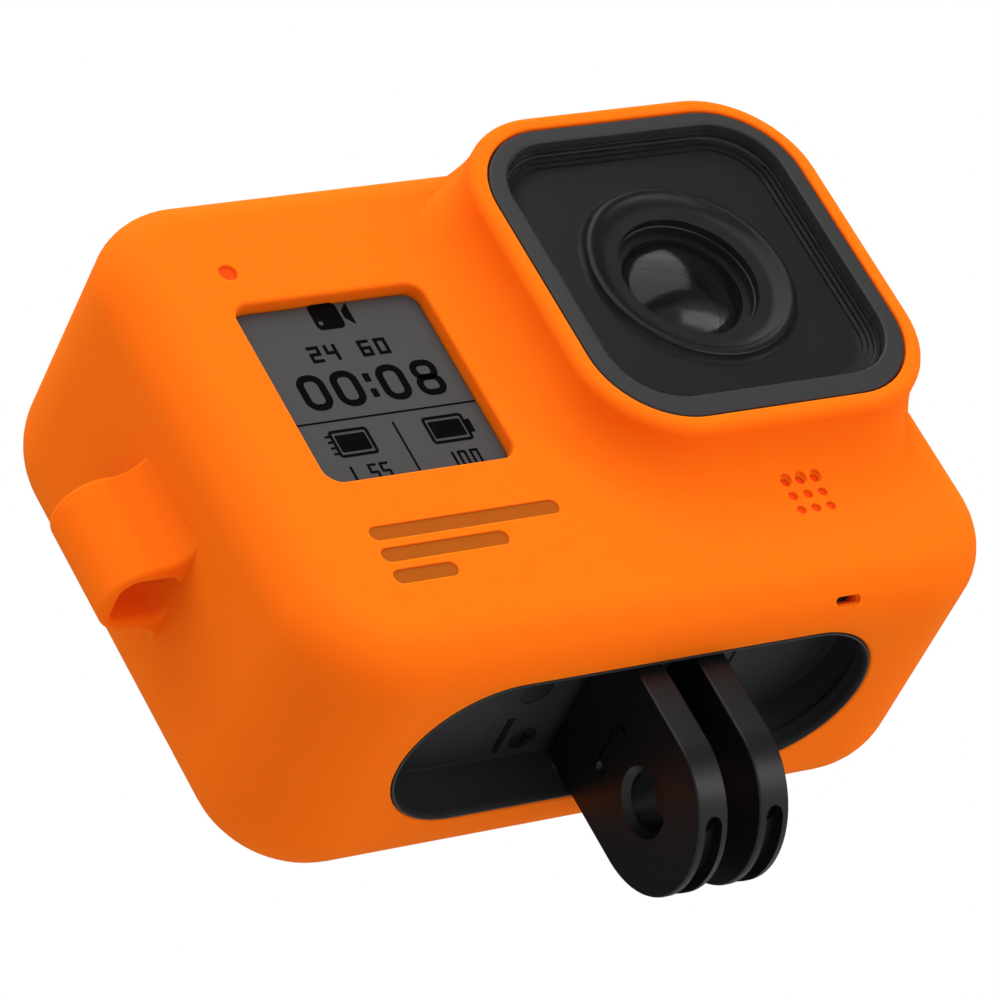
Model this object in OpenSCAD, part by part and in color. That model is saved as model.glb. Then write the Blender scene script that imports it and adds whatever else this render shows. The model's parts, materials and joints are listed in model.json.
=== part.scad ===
// Action camera in a soft silicone sleeve, with two fold-out mounting fingers.
// Millimetres. The origin is the centre of the bore through the two mounting fingers.
// X runs to the right as seen from the front, Y to the rear, Z up; the lens looks along -Y.

/* [Sleeve] */
// Width of the sleeve across X
sleeve_w = 70; // [68:0.5:72]
// Height of the sleeve along Z
sleeve_h = 53; // [52:0.5:55]
// Depth of the sleeve along Y, without the raised lens frame
sleeve_d = 30.6; // [30:0.2:31.4]
// Radius of the four corners as seen from the front
sleeve_corner_r = 9.8; // [9:0.2:10.6]
// Rounding between the front face and the sides
sleeve_front_r = 4.2; // [4:0.2:4.6]
// Rounding between the back face and the sides
sleeve_rear_r = 8; // [7.4:0.2:8.4]
// Thickness of the silicone wall
sleeve_wall = 1.7; // [1.6:0.1:1.8]

/* [Lens block] */
// Sideways place of the lens axis from the middle of the camera
lens_x = 16.7; // [16:0.1:16.9]
// Height of the lens axis above the middle of the camera
lens_z = 7.6; // [7:0.1:7.8]
// Width of the lens bezel
lens_w = 32; // [31:0.1:32.2]
// Height of the lens bezel
lens_h = 33; // [32:0.1:33.2]
// Corner radius of the lens bezel
lens_r = 7.8; // [7:0.1:8.2]
// How far the raised lens frame stands in front of the front face
lens_rise = 5.1; // [4.8:0.1:5.4]

/* [Front display] */
// Width of the opening over the status display
display_w = 18.7; // [18:0.1:19.2]
// Height of the opening over the status display
display_h = 19.6; // [19:0.1:20]
// Sideways place of the status display
display_x = -16.45; // [-16.8:0.05:-16]
// Height of the middle of the status display
display_z = 3.35; // [3:0.05:3.6]

/* [Mounting fingers] */
// Thickness of one finger
finger_t = 3; // [2.9:0.05:3.1]
// Gap between the two fingers
finger_gap = 3.2; // [3.1:0.05:3.3]
// Radius of a finger's round end, half its width
finger_r = 8; // [7.5:0.1:8.1]
// Radius of the bore that takes the clamp screw
finger_bore_r = 2.55; // [2.5:0.05:2.7]
// Radius of a finger's hinge pin
hinge_pin_r = 0.75; // [0.7:0.05:0.8]

/* [Buttons] */
// Length of the shutter button across X
shutter_w = 12; // [11:0.5:12.5]
// Depth of the shutter button along Y
shutter_d = 8.6; // [8:0.2:9]
// Height of the mode button along Z
mode_h = 12; // [11:0.5:13]
// Width of the mode button along Y
mode_d = 4.6; // [4.2:0.1:5]

/* [Hidden] */
$fn = 48;
eps = 0.01;
seat_gap = 0.1;          // gap between parts that only lie against each other
body_at = [-0.7, 2.05, 34];                       // middle of the camera in this frame

front_y = -sleeve_d / 2;                          // front face of the sleeve
rear_y = sleeve_d / 2;                            // back face of the sleeve
lens_front_y = front_y - lens_rise;               // foremost face of the raised lens frame
frame_rim = 1.75;                                 // silicone rim around the bezel
case_side = sleeve_wall + seat_gap;               // inset of the casing from the sleeve's outside
case_front = sleeve_wall;
case_rear = 1.4;
case_wall = 1.6;
case_front_y = front_y + case_front;
case_rear_y = rear_y - case_rear;
case_x = sleeve_w / 2 - case_side;                // half width of the casing
case_z = sleeve_h / 2 - case_side;                // half height of the casing
split_y = 9.5;                                    // joint between front and rear casing
cavity_front_y = case_front_y + case_wall;
cavity_x = case_x - case_wall;
cavity_z = case_z - case_wall;
screw_places = [[-28.4, -19], [28.4, -19], [28.4, 19], [-6.2, 20.5]];

bezel_t = 1.3;
bezel_front_y = lens_front_y + 0.1;
bezel_rear_y = bezel_front_y + bezel_t;
bezel_band = 1.9;                                 // width of the bezel's face
window_t = 0.9;
window_front_y = bezel_front_y + 0.1;
tube_w = lens_w - 2 * bezel_band - 0.2;           // inside width of the lens tube
tube_h = lens_h - 2 * bezel_band - 0.2;
tube_r = lens_r - bezel_band;
surround_y = bezel_front_y + 2.1;                 // front face of the dark surround plate
surround_t = 1;
ring_r = 9.3;                                     // crest of the ring round the lens
throat_r = 6.7;                                   // mouth of the cone round the lens
barrel_r = 6.5;
barrel_front_y = surround_y + 0.9;
barrel_rear_y = -3;

finger_x = finger_gap / 2 + finger_t / 2;         // middle of a finger's thickness
keeper_reach = 5.3;                               // from a finger's hinge to its keeper
magnet_x = finger_x + keeper_reach;
pocket_half = finger_r + 0.5;                     // half width of the finger pocket
pocket_left = -24.6;
pocket_right = 22.7;
case_bottom = body_at[2] - case_z;                // bottom of the casing in this frame
hinge_z = case_bottom + 0.12 + finger_t / 2;      // folded fingers lie flush with the casing
pocket_top = hinge_z + finger_t / 2 + 0.3;
tray_half = pocket_half + 1.7;
tray_top = pocket_top + 1.2;
shelf_t = 1.1;
opening_half = 8.85;                              // half width of the sleeve's bottom opening
opening_left = -24.9;
opening_right = 22.5;
rim_gap = 0.07;                                   // the tray's rim stands in the opening
rim_drop = 1.7;

loop_top = 5.1;                                   // lanyard loop, measured from the camera's middle
loop_bottom = -5.4;
loop_reach = 7;                                   // how far the loop stands out of the sleeve
loop_nose_r = 3.9;
loop_root_r = 2.7;
loop_wall = 1.5;
loop_y = -1.3;

shutter_at = [-16, 0.4];
shutter_travel = 0.5;
shutter_top = case_z + 0.7;
mode_at = [1, 2.5];
mode_travel = 0.5;
mode_face = case_x + 0.6;
light_at = [-24.3, 16.7];
mic_at = [17.85, -15];
mic_pitch = 1.55;
drain_at = [15.6, -13.6, -25.4];

silicone = "#ff7a12";
casing_black = "#2b2b2c";
soft_black = "#1c1c1d";
bezel_grey = "#454547";
board_green = "#14532d";
metal = "#b9bcc0";
gold = "#c9a227";

// ---------- shared shapes ----------

// Rounded rectangle about the origin.
module rounded_rect(w, h, r) {
    square([w - 2 * r, h], center = true);
    square([w, h - 2 * r], center = true);
    for (sx = [-1, 1], sy = [-1, 1])
        translate([sx * (w / 2 - r), sy * (h / 2 - r)]) circle(r);
}

// Rounded rectangle with one pair of round ends, from x0 to x1.
module stadium(x0, x1, half) {
    translate([x0 + half, -half]) square([x1 - x0 - 2 * half, 2 * half]);
    for (x = [x0 + half, x1 - half]) translate([x, 0]) circle(half);
}

// Extrudes a shape drawn in X and Z from y0 back to y1.
module from_front(y0, y1) {
    translate([0, y1, 0]) rotate([90, 0, 0]) linear_extrude(y1 - y0) children();
}

// Extrudes a shape drawn in Y and Z from x0 to x1.
module from_left(x0, x1) {
    translate([x0, 0, 0]) rotate([90, 0, 90]) linear_extrude(x1 - x0) children();
}

// Extrudes a shape drawn in X and Y from z0 to z1.
module from_below(z0, z1) {
    translate([0, 0, z0]) linear_extrude(z1 - z0) children();
}

// Facing plate in the lens block, centred on the lens axis.
module lens_plate(w, h, r, y0, y1) {
    translate([lens_x, 0, lens_z]) from_front(y0, y1) rounded_rect(w, h, r);
}

// Turned part on the lens axis; its profile is drawn as [radius, y].
module turned_on_lens(points) {
    translate([lens_x, 0, lens_z]) rotate([-90, 0, 0]) rotate_extrude() polygon(points);
}

module lens_cylinder(r, y0, y1) {
    translate([lens_x, y0, lens_z]) rotate([-90, 0, 0]) cylinder(r = r, h = y1 - y0);
}

module y_cylinder(x, z, r, y0, y1) {
    translate([x, y0, z]) rotate([-90, 0, 0]) cylinder(r = r, h = y1 - y0);
}

module box(low, high) {
    translate(low) cube(high - low);
}

// Corner post of the soft block: a turned post with a rounded front and back rim.
module corner_post(y0, y1, rc, rf, rb) {
    translate([0, y0, 0]) rotate([-90, 0, 0]) rotate_extrude($fn = 32) {
        translate([0, rf]) square([rc, y1 - y0 - rf - rb]);
        square([rc - rf, y1 - y0]);
        square([rc - rb, y1 - y0]);
        translate([rc - rf, rf]) circle(rf, $fn = 28);
        translate([rc - rb, y1 - y0 - rb]) intersection() {
            circle(rb, $fn = 32);
            translate([0, -rb]) square(2 * rb);
        }
    }
}

// The camera's soft outer block, taken in by the given amounts.
module soft_block(side, front, rear) {
    rc = sleeve_corner_r - side;
    rf = max(sleeve_front_r - min(side, front), 0.6);
    rb = min(sleeve_rear_r - min(side, rear), rc - eps);
    hull()
        for (sx = [-1, 1], sz = [-1, 1])
            translate([sx * (sleeve_w / 2 - sleeve_corner_r), 0, sz * (sleeve_h / 2 - sleeve_corner_r)])
                corner_post(front_y + front, rear_y - rear, rc, rf, rb);
}

module display_opening(grow, y0, y1, r = 1.6) {
    translate([display_x, 0, display_z])
        from_front(y0, y1) rounded_rect(display_w + 2 * grow, display_h + 2 * grow, r + grow);
}

module shutter_shape(grow, z0, z1) {
    translate([shutter_at[0], shutter_at[1], 0])
        from_below(z0, z1) stadium(-shutter_w / 2 - grow, shutter_w / 2 + grow, shutter_d / 2 + grow);
}

module mode_shape(grow, x0, x1) {
    translate([0, mode_at[0], mode_at[1]])
        from_left(x0, x1) rotate(90) stadium(-mode_h / 2 - grow, mode_h / 2 + grow, mode_d / 2 + grow);
}

module door_shape(grow, x0, x1) {
    translate([0, -1, 1])
        from_left(x0, x1) rounded_rect(17 + 2 * grow, 36 + 2 * grow, 3 + grow);
}

// Moves what is drawn from the camera's middle into this frame.
module in_camera() { translate(body_at) children(); }

// Stadium of the bottom opening or tray, drawn in the finger frame.
module bottom_shape(left, right, half, z0, z1) {
    from_below(z0, z1) stadium(left, right, half);
}

// ---------- sleeve ----------

module sleeve() {
    color(silicone) difference() {
        in_camera() difference() {
            union() {
                soft_block(0, 0, 0);
                lens_plate(lens_w + 2 * frame_rim, lens_h + 2 * frame_rim, lens_r + frame_rim,
                           lens_front_y, front_y + sleeve_front_r);
            }
            soft_block(sleeve_wall, case_front - eps, case_rear - eps);
            lens_plate(lens_w + 0.1, lens_h + 0.1, lens_r, lens_front_y - 1, 0);
            display_opening(0, front_y - 1, 0);
            from_front(0, rear_y + 1) rounded_rect(56, 39, 6);
            shutter_shape(1.7, 0, sleeve_h);
            mode_shape(1.2, 0, sleeve_w);
            y_cylinder(light_at[0], light_at[1], 0.85, front_y - 1, 0);
            for (i = [-1:1], k = [-1:1])
                y_cylinder(mic_at[0] + i * mic_pitch, mic_at[1] + k * mic_pitch, 0.45, front_y - 1, 0);
            translate(drain_at) rotate([-45, 0, 0])
                translate([-1.2, -4, -0.3]) cube([2.4, 8, 0.6]);
        }
        bottom_shape(opening_left, opening_right, opening_half, 0, body_at[2]);
    }
}

// The loop seen from above: a round-nosed lug that flares into the sleeve's side at both roots.
module loop_outline() {
    side = -sleeve_w / 2;
    nose_x = side - loop_reach + loop_nose_r;
    translate([nose_x, loop_y]) circle(loop_nose_r);
    translate([nose_x, loop_y - loop_nose_r]) square([side - nose_x, 2 * loop_nose_r]);
    for (s = [-1, 1]) translate([side, loop_y + s * loop_nose_r]) mirror([0, s < 0 ? 1 : 0]) difference() {
        translate([-loop_root_r, -eps]) square([loop_root_r, loop_root_r + eps]);
        translate([-loop_root_r, loop_root_r]) circle(loop_root_r);
    }
}

module lanyard_loop() {
    hole_w = loop_reach - loop_wall + 1;
    color(silicone) in_camera() from_below(loop_bottom, loop_top) difference() {
        loop_outline();
        translate([1 - sleeve_w / 2 - hole_w / 2, loop_y])
            rounded_rect(hole_w, 2 * (loop_nose_r - loop_wall), 1.4);
    }
}

// ---------- casing ----------

module front_casing() {
    color(casing_black) difference() {
        union() {
            in_camera() difference() {
                union() {
                    intersection() {
                        soft_block(case_side, case_front, case_rear);
                        box([-40, -40, -40], [40, split_y, 40]);
                    }
                    lens_plate(lens_w - 0.2, lens_h - 0.2, lens_r - 0.1, bezel_rear_y, 0);
                }
                soft_block(case_side + case_wall, case_front + case_wall, -5);
                lens_plate(tube_w, tube_h, tube_r, bezel_rear_y - 1, 0);
                display_opening(1, case_front_y - 1, 0);
                shutter_shape(0.3, 0, sleeve_h);
                mode_shape(0.3, 0, sleeve_w);
                door_shape(0.15, -sleeve_w, 0);
                y_cylinder(light_at[0], light_at[1], 0.9, front_y, 0);
                y_cylinder(mic_at[0], mic_at[1], 0.6, front_y, 0);
                y_cylinder(drain_at[0], -21.5, 0.6, front_y, 0);
            }
            bottom_shape(pocket_left - 2.6, pocket_right + 2.6, tray_half + 0.9,
                         case_bottom + 2, tray_top + shelf_t);
            in_camera() for (p = screw_places) y_cylinder(p[0], p[1], 2, case_front_y + 1, split_y);
        }
        bottom_shape(pocket_left - 1.7, pocket_right + 1.7, tray_half + 0.1, 0, tray_top + 0.05);
        tray_screw_places() cylinder(r = 0.55, h = 6);
        in_camera() for (p = screw_places) y_cylinder(p[0], p[1], 0.6, 0, split_y + 1);
        in_camera() door_shape(0.15, -case_x - 1, -case_x + case_wall);
    }
}

module rear_casing() {
    color(casing_black) in_camera() difference() {
        intersection() {
            soft_block(case_side, case_front, case_rear);
            box([-40, split_y + eps, -40], [40, 40, 40]);
        }
        soft_block(case_side + case_wall + 0.4, case_front + case_wall, case_rear + 2.6);
        from_front(0, 40) rounded_rect(53.4, 36.4, 4.2);
        for (p = screw_places) {
            y_cylinder(p[0], p[1], 0.85, 0, 40);
            y_cylinder(p[0], p[1], 1.5, 11.2, 40);
        }
    }
}

module casing_screws() {
    color(metal) in_camera() for (p = screw_places) difference() {
        union() {
            y_cylinder(p[0], p[1], 0.58, 4.5, 11.3);
            y_cylinder(p[0], p[1], 1.3, 11.25, 12);
        }
        translate([p[0], 12.2, p[1]]) cube([1.6, 0.8, 0.35], center = true);
        translate([p[0], 12.2, p[1]]) cube([0.35, 0.8, 1.6], center = true);
    }
}

// ---------- lens ----------

module lens_bezel() {
    color(bezel_grey) in_camera() difference() {
        lens_plate(lens_w - 0.1, lens_h - 0.1, lens_r - 0.05, bezel_front_y, bezel_rear_y - 0.02);
        lens_plate(lens_w - 2 * bezel_band, lens_h - 2 * bezel_band, tube_r,
                   bezel_front_y - 1, bezel_rear_y + 1);
    }
}

module lens_window() {
    color("#20242880") in_camera()
        lens_plate(tube_w - 0.05, tube_h - 0.05, tube_r - 0.05, window_front_y, window_front_y + window_t);
}

module lens_window_gasket() {
    color("#101010") in_camera() difference() {
        lens_plate(tube_w - 0.05, tube_h - 0.05, tube_r - 0.05,
                   window_front_y + window_t, window_front_y + window_t + 0.4);
        lens_plate(tube_w - 1.4, tube_h - 1.4, tube_r - 0.7, bezel_front_y, 0);
    }
}

// Plate behind the window, with a raised ring and a cone down to the front element.
module lens_surround() {
    color(soft_black) in_camera() {
        difference() {
            union() {
                lens_plate(tube_w - 0.1, tube_h - 0.1, tube_r - 0.1, surround_y, surround_y + surround_t);
                difference() {
                    lens_plate(tube_w - 0.1, tube_h - 0.1, tube_r - 0.1,
                               surround_y - 0.68, surround_y + eps);
                    lens_plate(tube_w - 1.6, tube_h - 1.6, tube_r - 0.8, surround_y - 1, surround_y + eps);
                }
                turned_on_lens([[throat_r, surround_y + surround_t], [throat_r, surround_y + 0.5],
                                [ring_r - 0.5, surround_y - 0.7], [ring_r, surround_y - 0.8],
                                [ring_r + 0.4, surround_y - 0.6], [ring_r + 0.7, surround_y],
                                [ring_r + 0.7, surround_y + surround_t]]);
            }
            turned_on_lens([[0, surround_y - 2], [ring_r - 0.5, surround_y - 2],
                            [ring_r - 0.5, surround_y - 0.7],
                            [throat_r, surround_y + 0.5], [throat_r, surround_y + 2], [0, surround_y + 2]]);
        }
    }
}

// Spherical lens element with a flat back and a straight edge.
module element(r, dome_r, front, edge_y, rear) {
    intersection() {
        lens_cylinder(r, front - 1, rear);
        union() {
            translate([lens_x, front + dome_r, lens_z]) sphere(dome_r);
            lens_cylinder(r, edge_y, rear);
        }
    }
}

module lens_front_element() {
    color("#3a3f4a90") in_camera()
        element(5.6, 8.2, surround_y - 0.3, barrel_front_y + 1.6, barrel_front_y + 2.6);
}

module lens_inner_elements() {
    color("#4a4f5a90") in_camera() {
        lens_cylinder(4.4, -13.2, -12);
        lens_cylinder(4, -10.4, -8.6);
        lens_cylinder(3.6, -6.6, -5.2);
    }
}

module lens_retaining_ring() {
    color(soft_black) in_camera() difference() {
        lens_cylinder(6.45, barrel_front_y, barrel_front_y + 0.6);
        lens_cylinder(5.7, barrel_front_y - 1, barrel_front_y + 2);
    }
}

module lens_barrel() {
    color(soft_black) in_camera() difference() {
        lens_cylinder(barrel_r, barrel_front_y + 0.65, barrel_rear_y);
        lens_cylinder(5.65, barrel_front_y, barrel_front_y + 2.65);
        lens_cylinder(4.45, barrel_front_y + 2, -11.95);
        lens_cylinder(4.05, -12, -8.55);
        lens_cylinder(3.65, -9, -5.15);
        lens_cylinder(3.2, -6, barrel_rear_y + 1);
    }
}

module lens_holder() {
    color("#333336") in_camera() difference() {
        union() {
            lens_cylinder(8.2, -9, -2);
            lens_plate(19, 19, 1.5, -2.2, -0.9);
        }
        lens_cylinder(barrel_r + 0.05, -12, barrel_rear_y);
        lens_plate(12, 12, 0.5, barrel_rear_y - eps, 0);
    }
}

module infrared_filter() {
    color("#7a2f3a90") in_camera() lens_plate(10, 10, 0.4, -2.3, -1.9);
}

module image_sensor() {
    color("#1b2b33") in_camera() lens_plate(9.4, 8.2, 0.3, -1.4, -0.2);
}

module sensor_board() {
    color(board_green) in_camera() {
        difference() {
            lens_plate(20, 20, 1, -0.85, 0.15);
            lens_plate(9.6, 8.4, 0.3, -2, 1);
        }
        lens_plate(12, 4, 0.3, 0.15, 1.2);
    }
}

// ---------- displays ----------

module status_display_window() {
    color("#5a5a5a80") in_camera() display_opening(0.9, case_front_y + 0.1, case_front_y + 1.1);
}

module status_display_panel() {
    color("#4f4f4f") in_camera() display_opening(0.7, case_front_y + 1.15, case_front_y + 3.4);
}

module status_display_flex() {
    color("#b5651d") in_camera() {
        box([-15.5, case_front_y + 3.45, -4], [-10.2, case_front_y + 3.6, 10]);
        box([-15.5, case_front_y + 3.45, 9.9], [-10.2, 5.9, 10.05]);
    }
}

module rear_display_glass() {
    color("#0d0f12") in_camera() from_front(case_rear_y - 1.2, case_rear_y) rounded_rect(53.1, 36.1, 4);
}

module rear_display_gasket() {
    color("#222222") in_camera() difference() {
        from_front(case_rear_y - 1.5, case_rear_y - 1.22) rounded_rect(53, 36, 4);
        from_front(0, case_rear_y) rounded_rect(49, 32, 3);
    }
}

module rear_display_panel() {
    color("#2f3338") in_camera() from_front(9.8, case_rear_y - 1.55) rounded_rect(50, 33, 2);
}

// ---------- lights, microphones, speaker ----------

module status_light_guide() {
    color("#d9512c") in_camera() y_cylinder(light_at[0], light_at[1], 0.8, case_front_y, -9.8);
}

module status_light() {
    color("#e8e2d0") in_camera() translate([light_at[0], -9.4, light_at[1]])
        cube([1.6, 0.6, 1], center = true);
}

// Small can microphone with its port facing the front.
module microphone(x, z, y) {
    difference() {
        box([x - 1.9, y, z - 1.4], [x + 1.9, y + 1.1, z + 1.4]);
        y_cylinder(x, z, 0.3, y - 1, y + 0.6);
    }
}

module front_microphone() {
    color(gold) in_camera() microphone(mic_at[0], mic_at[1], cavity_front_y + 0.15);
}

module drain_microphone() {
    color(gold) in_camera() microphone(drain_at[0] + 8, -15, cavity_front_y + 0.15);
}

module top_microphone() {
    color(gold) in_camera() translate([-2, 2, cavity_z - 1.2]) difference() {
        cube([3.8, 2.8, 1.1], center = true);
        cylinder(r = 0.3, h = 1);
    }
}

module speaker() {
    color("#3b3b3d") in_camera() {
        difference() {
            box([10, -9, -18], [26, -3.2, -11.5]);
            box([11, -9.5, -17], [25, -8.4, -12.5]);
        }
        box([12, -8.8, -16.4], [24, -8.6, -13.1]);
    }
}

module antenna() {
    color("#c08040") in_camera() box([-4, 4.6, 17.5], [-1, 8.6, 21.5]);
}

// ---------- boards, battery and ports ----------

module chassis() {
    color(metal) in_camera() difference() {
        union() {
            box([-26, 4.4, -15.8], [26, 5.3, 9.6]);
            box([-10, 4.4, 9.5], [26, 5.3, 17]);
        }
        for (x = [-20, 0, 20]) y_cylinder(x, -13, 1.2, 0, 8);
    }
}

module main_board() {
    color(board_green) in_camera() difference() {
        from_front(6, 7) rounded_rect(52.6, 35, 1.5);
        for (x = [-20, 20]) y_cylinder(x, -15, 0.9, 0, 8);
    }
}

module board_chips() {
    color("#202225") in_camera() {
        box([-6, 7.01, -4], [6, 8.2, 8]);
        box([9, 7.01, -2], [17, 8, 8]);
        box([-18, 7.01, 2], [-10, 7.9, 9]);
        box([-20, 7.01, -12], [-14, 7.8, -7]);
        for (i = [0:4]) box([-8 + 3 * i, 7.01, -11], [-6.6 + 3 * i, 7.6, -10.2]);
    }
}

module chip_shields() {
    color("#9fa3a8") in_camera() difference() {
        box([8, 7.01, -13], [22, 8.6, -4]);
        box([8.3, 7, -12.7], [21.7, 8.3, -4.3]);
    }
}

module thermal_pad() {
    color("#7f8f9f") in_camera() box([-6, 5.35, -4], [6, 5.95, 8]);
}

module port_board() {
    color(board_green) in_camera() box([-29.2, 0.3, 10.9], [-16, 1.1, 21.3]);
}

module battery() {
    color("#3c4148") in_camera() translate([-12.5, -1.3, -3.4])
        from_left(-16.4, 16.4) rounded_rect(11, 26, 1.2);
}

module battery_pull_tab() {
    color("#d9d9d9") in_camera() {
        box([-29.3, -5, -8], [-29, 2, 4]);
        box([-30.2, 1.5, -8], [-29.3, 1.8, 4]);
    }
}

module battery_contacts() {
    color(gold) in_camera() {
        for (z = [-9, -5, -1]) box([3.95, -2.5, z], [5.4, -0.5, z + 1.4]);
        box([5.4, -3.2, -10], [6, 0.2, 1.6]);
    }
}

module usb_port() {
    color(metal) in_camera() translate([0, 3.6, 16]) difference() {
        from_left(-29.9, -24) rotate(90) rounded_rect(8.9, 3.1, 1.5);
        from_left(-32, -24.6) rotate(90) rounded_rect(8.3, 2.5, 1.2);
    }
    color("#151515") in_camera() box([-29.6, 3.25, 12.8], [-24.5, 3.95, 19.2]);
}

module card_slot() {
    color("#9fa3a8") in_camera() difference() {
        box([-29.2, -1.5, 9.85], [-16.5, 0.28, 21.45]);
        box([-30, -1.2, 10.15], [-17, -0.1, 21.15]);
    }
}

module memory_card() {
    color("#151518") in_camera() box([-29.3, -1.1, 10.2], [-17.4, -0.2, 21.1]);
}

// ---------- side door ----------

module side_door() {
    color(casing_black) in_camera() difference() {
        intersection() {
            soft_block(case_side, case_front, case_rear);
            door_shape(0, -case_x, -case_x + case_wall);
        }
        box([-case_x - 1, -6, -14.2], [-case_x + 0.85, 4, -9.8]);
        y_cylinder(-case_x + 0.8, 17.8, 0.56, -9, 7);
    }
}

module door_hinge_pin() {
    color(metal) in_camera() y_cylinder(-case_x + 0.8, 17.8, 0.5, -8.8, 6.8);
}

module door_latch() {
    color("#3a3a3c") in_camera() difference() {
        box([-case_x + 0.05, -4.9, -14.1], [-case_x + 0.8, 2.9, -9.9]);
        for (i = [0:4]) box([-case_x - 1, -4 + 1.4 * i, -13.4], [-case_x + 0.3, -3.5 + 1.4 * i, -10.6]);
    }
}

module door_gasket() {
    color("#b23a1e") in_camera() difference() {
        intersection() {
            soft_block(case_side + case_wall + 0.05, case_front + case_wall + 0.05, case_rear);
            door_shape(0.4, -case_x + case_wall + 0.02, -case_x + case_wall + 0.7);
        }
        door_shape(-0.8, -case_x, -20);
    }
}

// ---------- mounting fingers ----------

module tray_screw_places() {
    for (x = [-7.1, 7.1], y = [-6.6, 6.6]) translate([x, y, pocket_top + 0.3]) children();
}

module mount_tray() {
    color(casing_black) difference() {
        union() {
            bottom_shape(pocket_left - 1.6, pocket_right + 1.6, tray_half, case_bottom, tray_top);
            bottom_shape(opening_left + rim_gap, opening_right - rim_gap, opening_half - rim_gap,
                         case_bottom - rim_drop, case_bottom + eps);
        }
        difference() {
            bottom_shape(pocket_left, pocket_right, pocket_half, 0, pocket_top);
            box([-1.45, -20, case_bottom + 0.5], [1.45, 20, pocket_top + 1]);
        }
        for (sx = [-1, 1])
            y_cylinder(sx * finger_x, hinge_z, hinge_pin_r + 0.01, -tray_half + 0.2, tray_half - 0.2);
        tray_screw_places() {
            translate([0, 0, -0.31]) cylinder(r = 1.3, h = 0.62);
            cylinder(r = 0.8, h = 6);
        }
        for (x = [-magnet_x, magnet_x]) translate([x, 0, pocket_top - eps]) cylinder(r = 1.55, h = 0.9);
    }
}

module mount_tray_screws() {
    color(metal) tray_screw_places() difference() {
        union() {
            translate([0, 0, -0.28]) cylinder(r = 1.2, h = 0.55);
            cylinder(r = 0.52, h = 1.8);
        }
        translate([0, 0, -0.2]) cube([1.4, 0.3, 0.4], center = true);
        translate([0, 0, -0.2]) cube([0.3, 1.4, 0.4], center = true);
    }
}

module tray_magnets() {
    color(metal) for (x = [-magnet_x, magnet_x])
        translate([x, 0, pocket_top + 0.05]) cylinder(r = 1.5, h = 0.8);
}

module hinge_pins() {
    color(metal) for (sx = [-1, 1])
        y_cylinder(sx * finger_x, hinge_z, hinge_pin_r, -tray_half + 0.3, tray_half - 0.3);
}

module hinge_washers() {
    color(metal) for (sx = [-1, 1], sy = [-1, 1]) translate([sx * finger_x, sy * (finger_r + 0.25), hinge_z])
        rotate([90, 0, 0]) difference() {
            cylinder(r = 1.4, h = 0.3, center = true);
            cylinder(r = hinge_pin_r + 0.05, h = 1, center = true);
        }
}

// One finger: a round-ended plate whose top edge turns on the hinge pin. side is -1 for left, 1 for right.
module finger(side) {
    x0 = side * finger_x - finger_t / 2;
    outer = side * (finger_x + finger_t / 2);
    difference() {
        union() {
            from_left(x0, x0 + finger_t) {
                circle(finger_r, $fn = 96);
                translate([-finger_r, 0]) square([2 * finger_r, hinge_z]);
            }
            y_cylinder(side * finger_x, hinge_z, finger_t / 2, -finger_r, finger_r);
        }
        from_left(x0 - 1, x0 + finger_t + 1) circle(finger_bore_r, $fn = 64);
        translate([outer, 0, 0]) rotate([0, -90 * side, 0]) translate([0, 0, -0.01])
            cylinder(r1 = finger_bore_r + 0.56, r2 = finger_bore_r - 0.01, h = 0.57);
        y_cylinder(side * finger_x, hinge_z, hinge_pin_r + 0.05, -finger_r - 1, finger_r + 1);
        finger_keeper_seat(side, 0.05);
    }
}

// Steel keeper sunk in a finger's outer face; it meets the tray's magnet when folded.
module finger_keeper_seat(side, grow) {
    outer = side * (finger_x + finger_t / 2);
    translate([outer - side * 0.8, 0, hinge_z - keeper_reach]) rotate([0, 90 * side, 0])
        translate([0, 0, -grow]) cylinder(r = 1.3 + grow, h = 0.75 + grow * 6);
}

module left_finger() { color(casing_black) finger(-1); }
module right_finger() { color(casing_black) finger(1); }
module left_finger_keeper() { color(metal) finger_keeper_seat(-1, 0); }
module right_finger_keeper() { color(metal) finger_keeper_seat(1, 0); }

// ---------- buttons ----------

module shutter_bezel() {
    color(bezel_grey) in_camera() difference() {
        shutter_shape(1.5, case_z + 0.02, case_z + 0.5);
        shutter_shape(0.25, 0, sleeve_h);
    }
}

module shutter_button() {
    color("#39393b") in_camera() {
        shutter_shape(0, case_z - 0.9, shutter_top);
        translate([shutter_at[0], shutter_at[1], 0]) from_below(case_z - 2.4, case_z - 0.9) circle(2);
    }
}

module shutter_boot() {
    color("#222222") in_camera() difference() {
        shutter_shape(0.8, cavity_z - 1.2, cavity_z - 0.1);
        shutter_shape(0.1, cavity_z - 0.75, cavity_z + 1);
        translate([shutter_at[0], shutter_at[1], 0]) from_below(cavity_z - 5, cavity_z + 1) circle(2.3);
    }
}

module mode_button() {
    color("#39393b") in_camera() {
        mode_shape(0, case_x - 0.9, mode_face);
        translate([0, mode_at[0], mode_at[1]]) from_left(case_x - 2.2, case_x - 0.9) circle(1.4);
    }
}

module mode_boot() {
    color("#222222") in_camera() difference() {
        mode_shape(0.8, cavity_x - 1.2, cavity_x - 0.1);
        mode_shape(0.1, cavity_x - 0.75, cavity_x + 1);
        translate([0, mode_at[0], mode_at[1]]) from_left(cavity_x - 5, cavity_x + 1) circle(1.7);
    }
}

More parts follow.
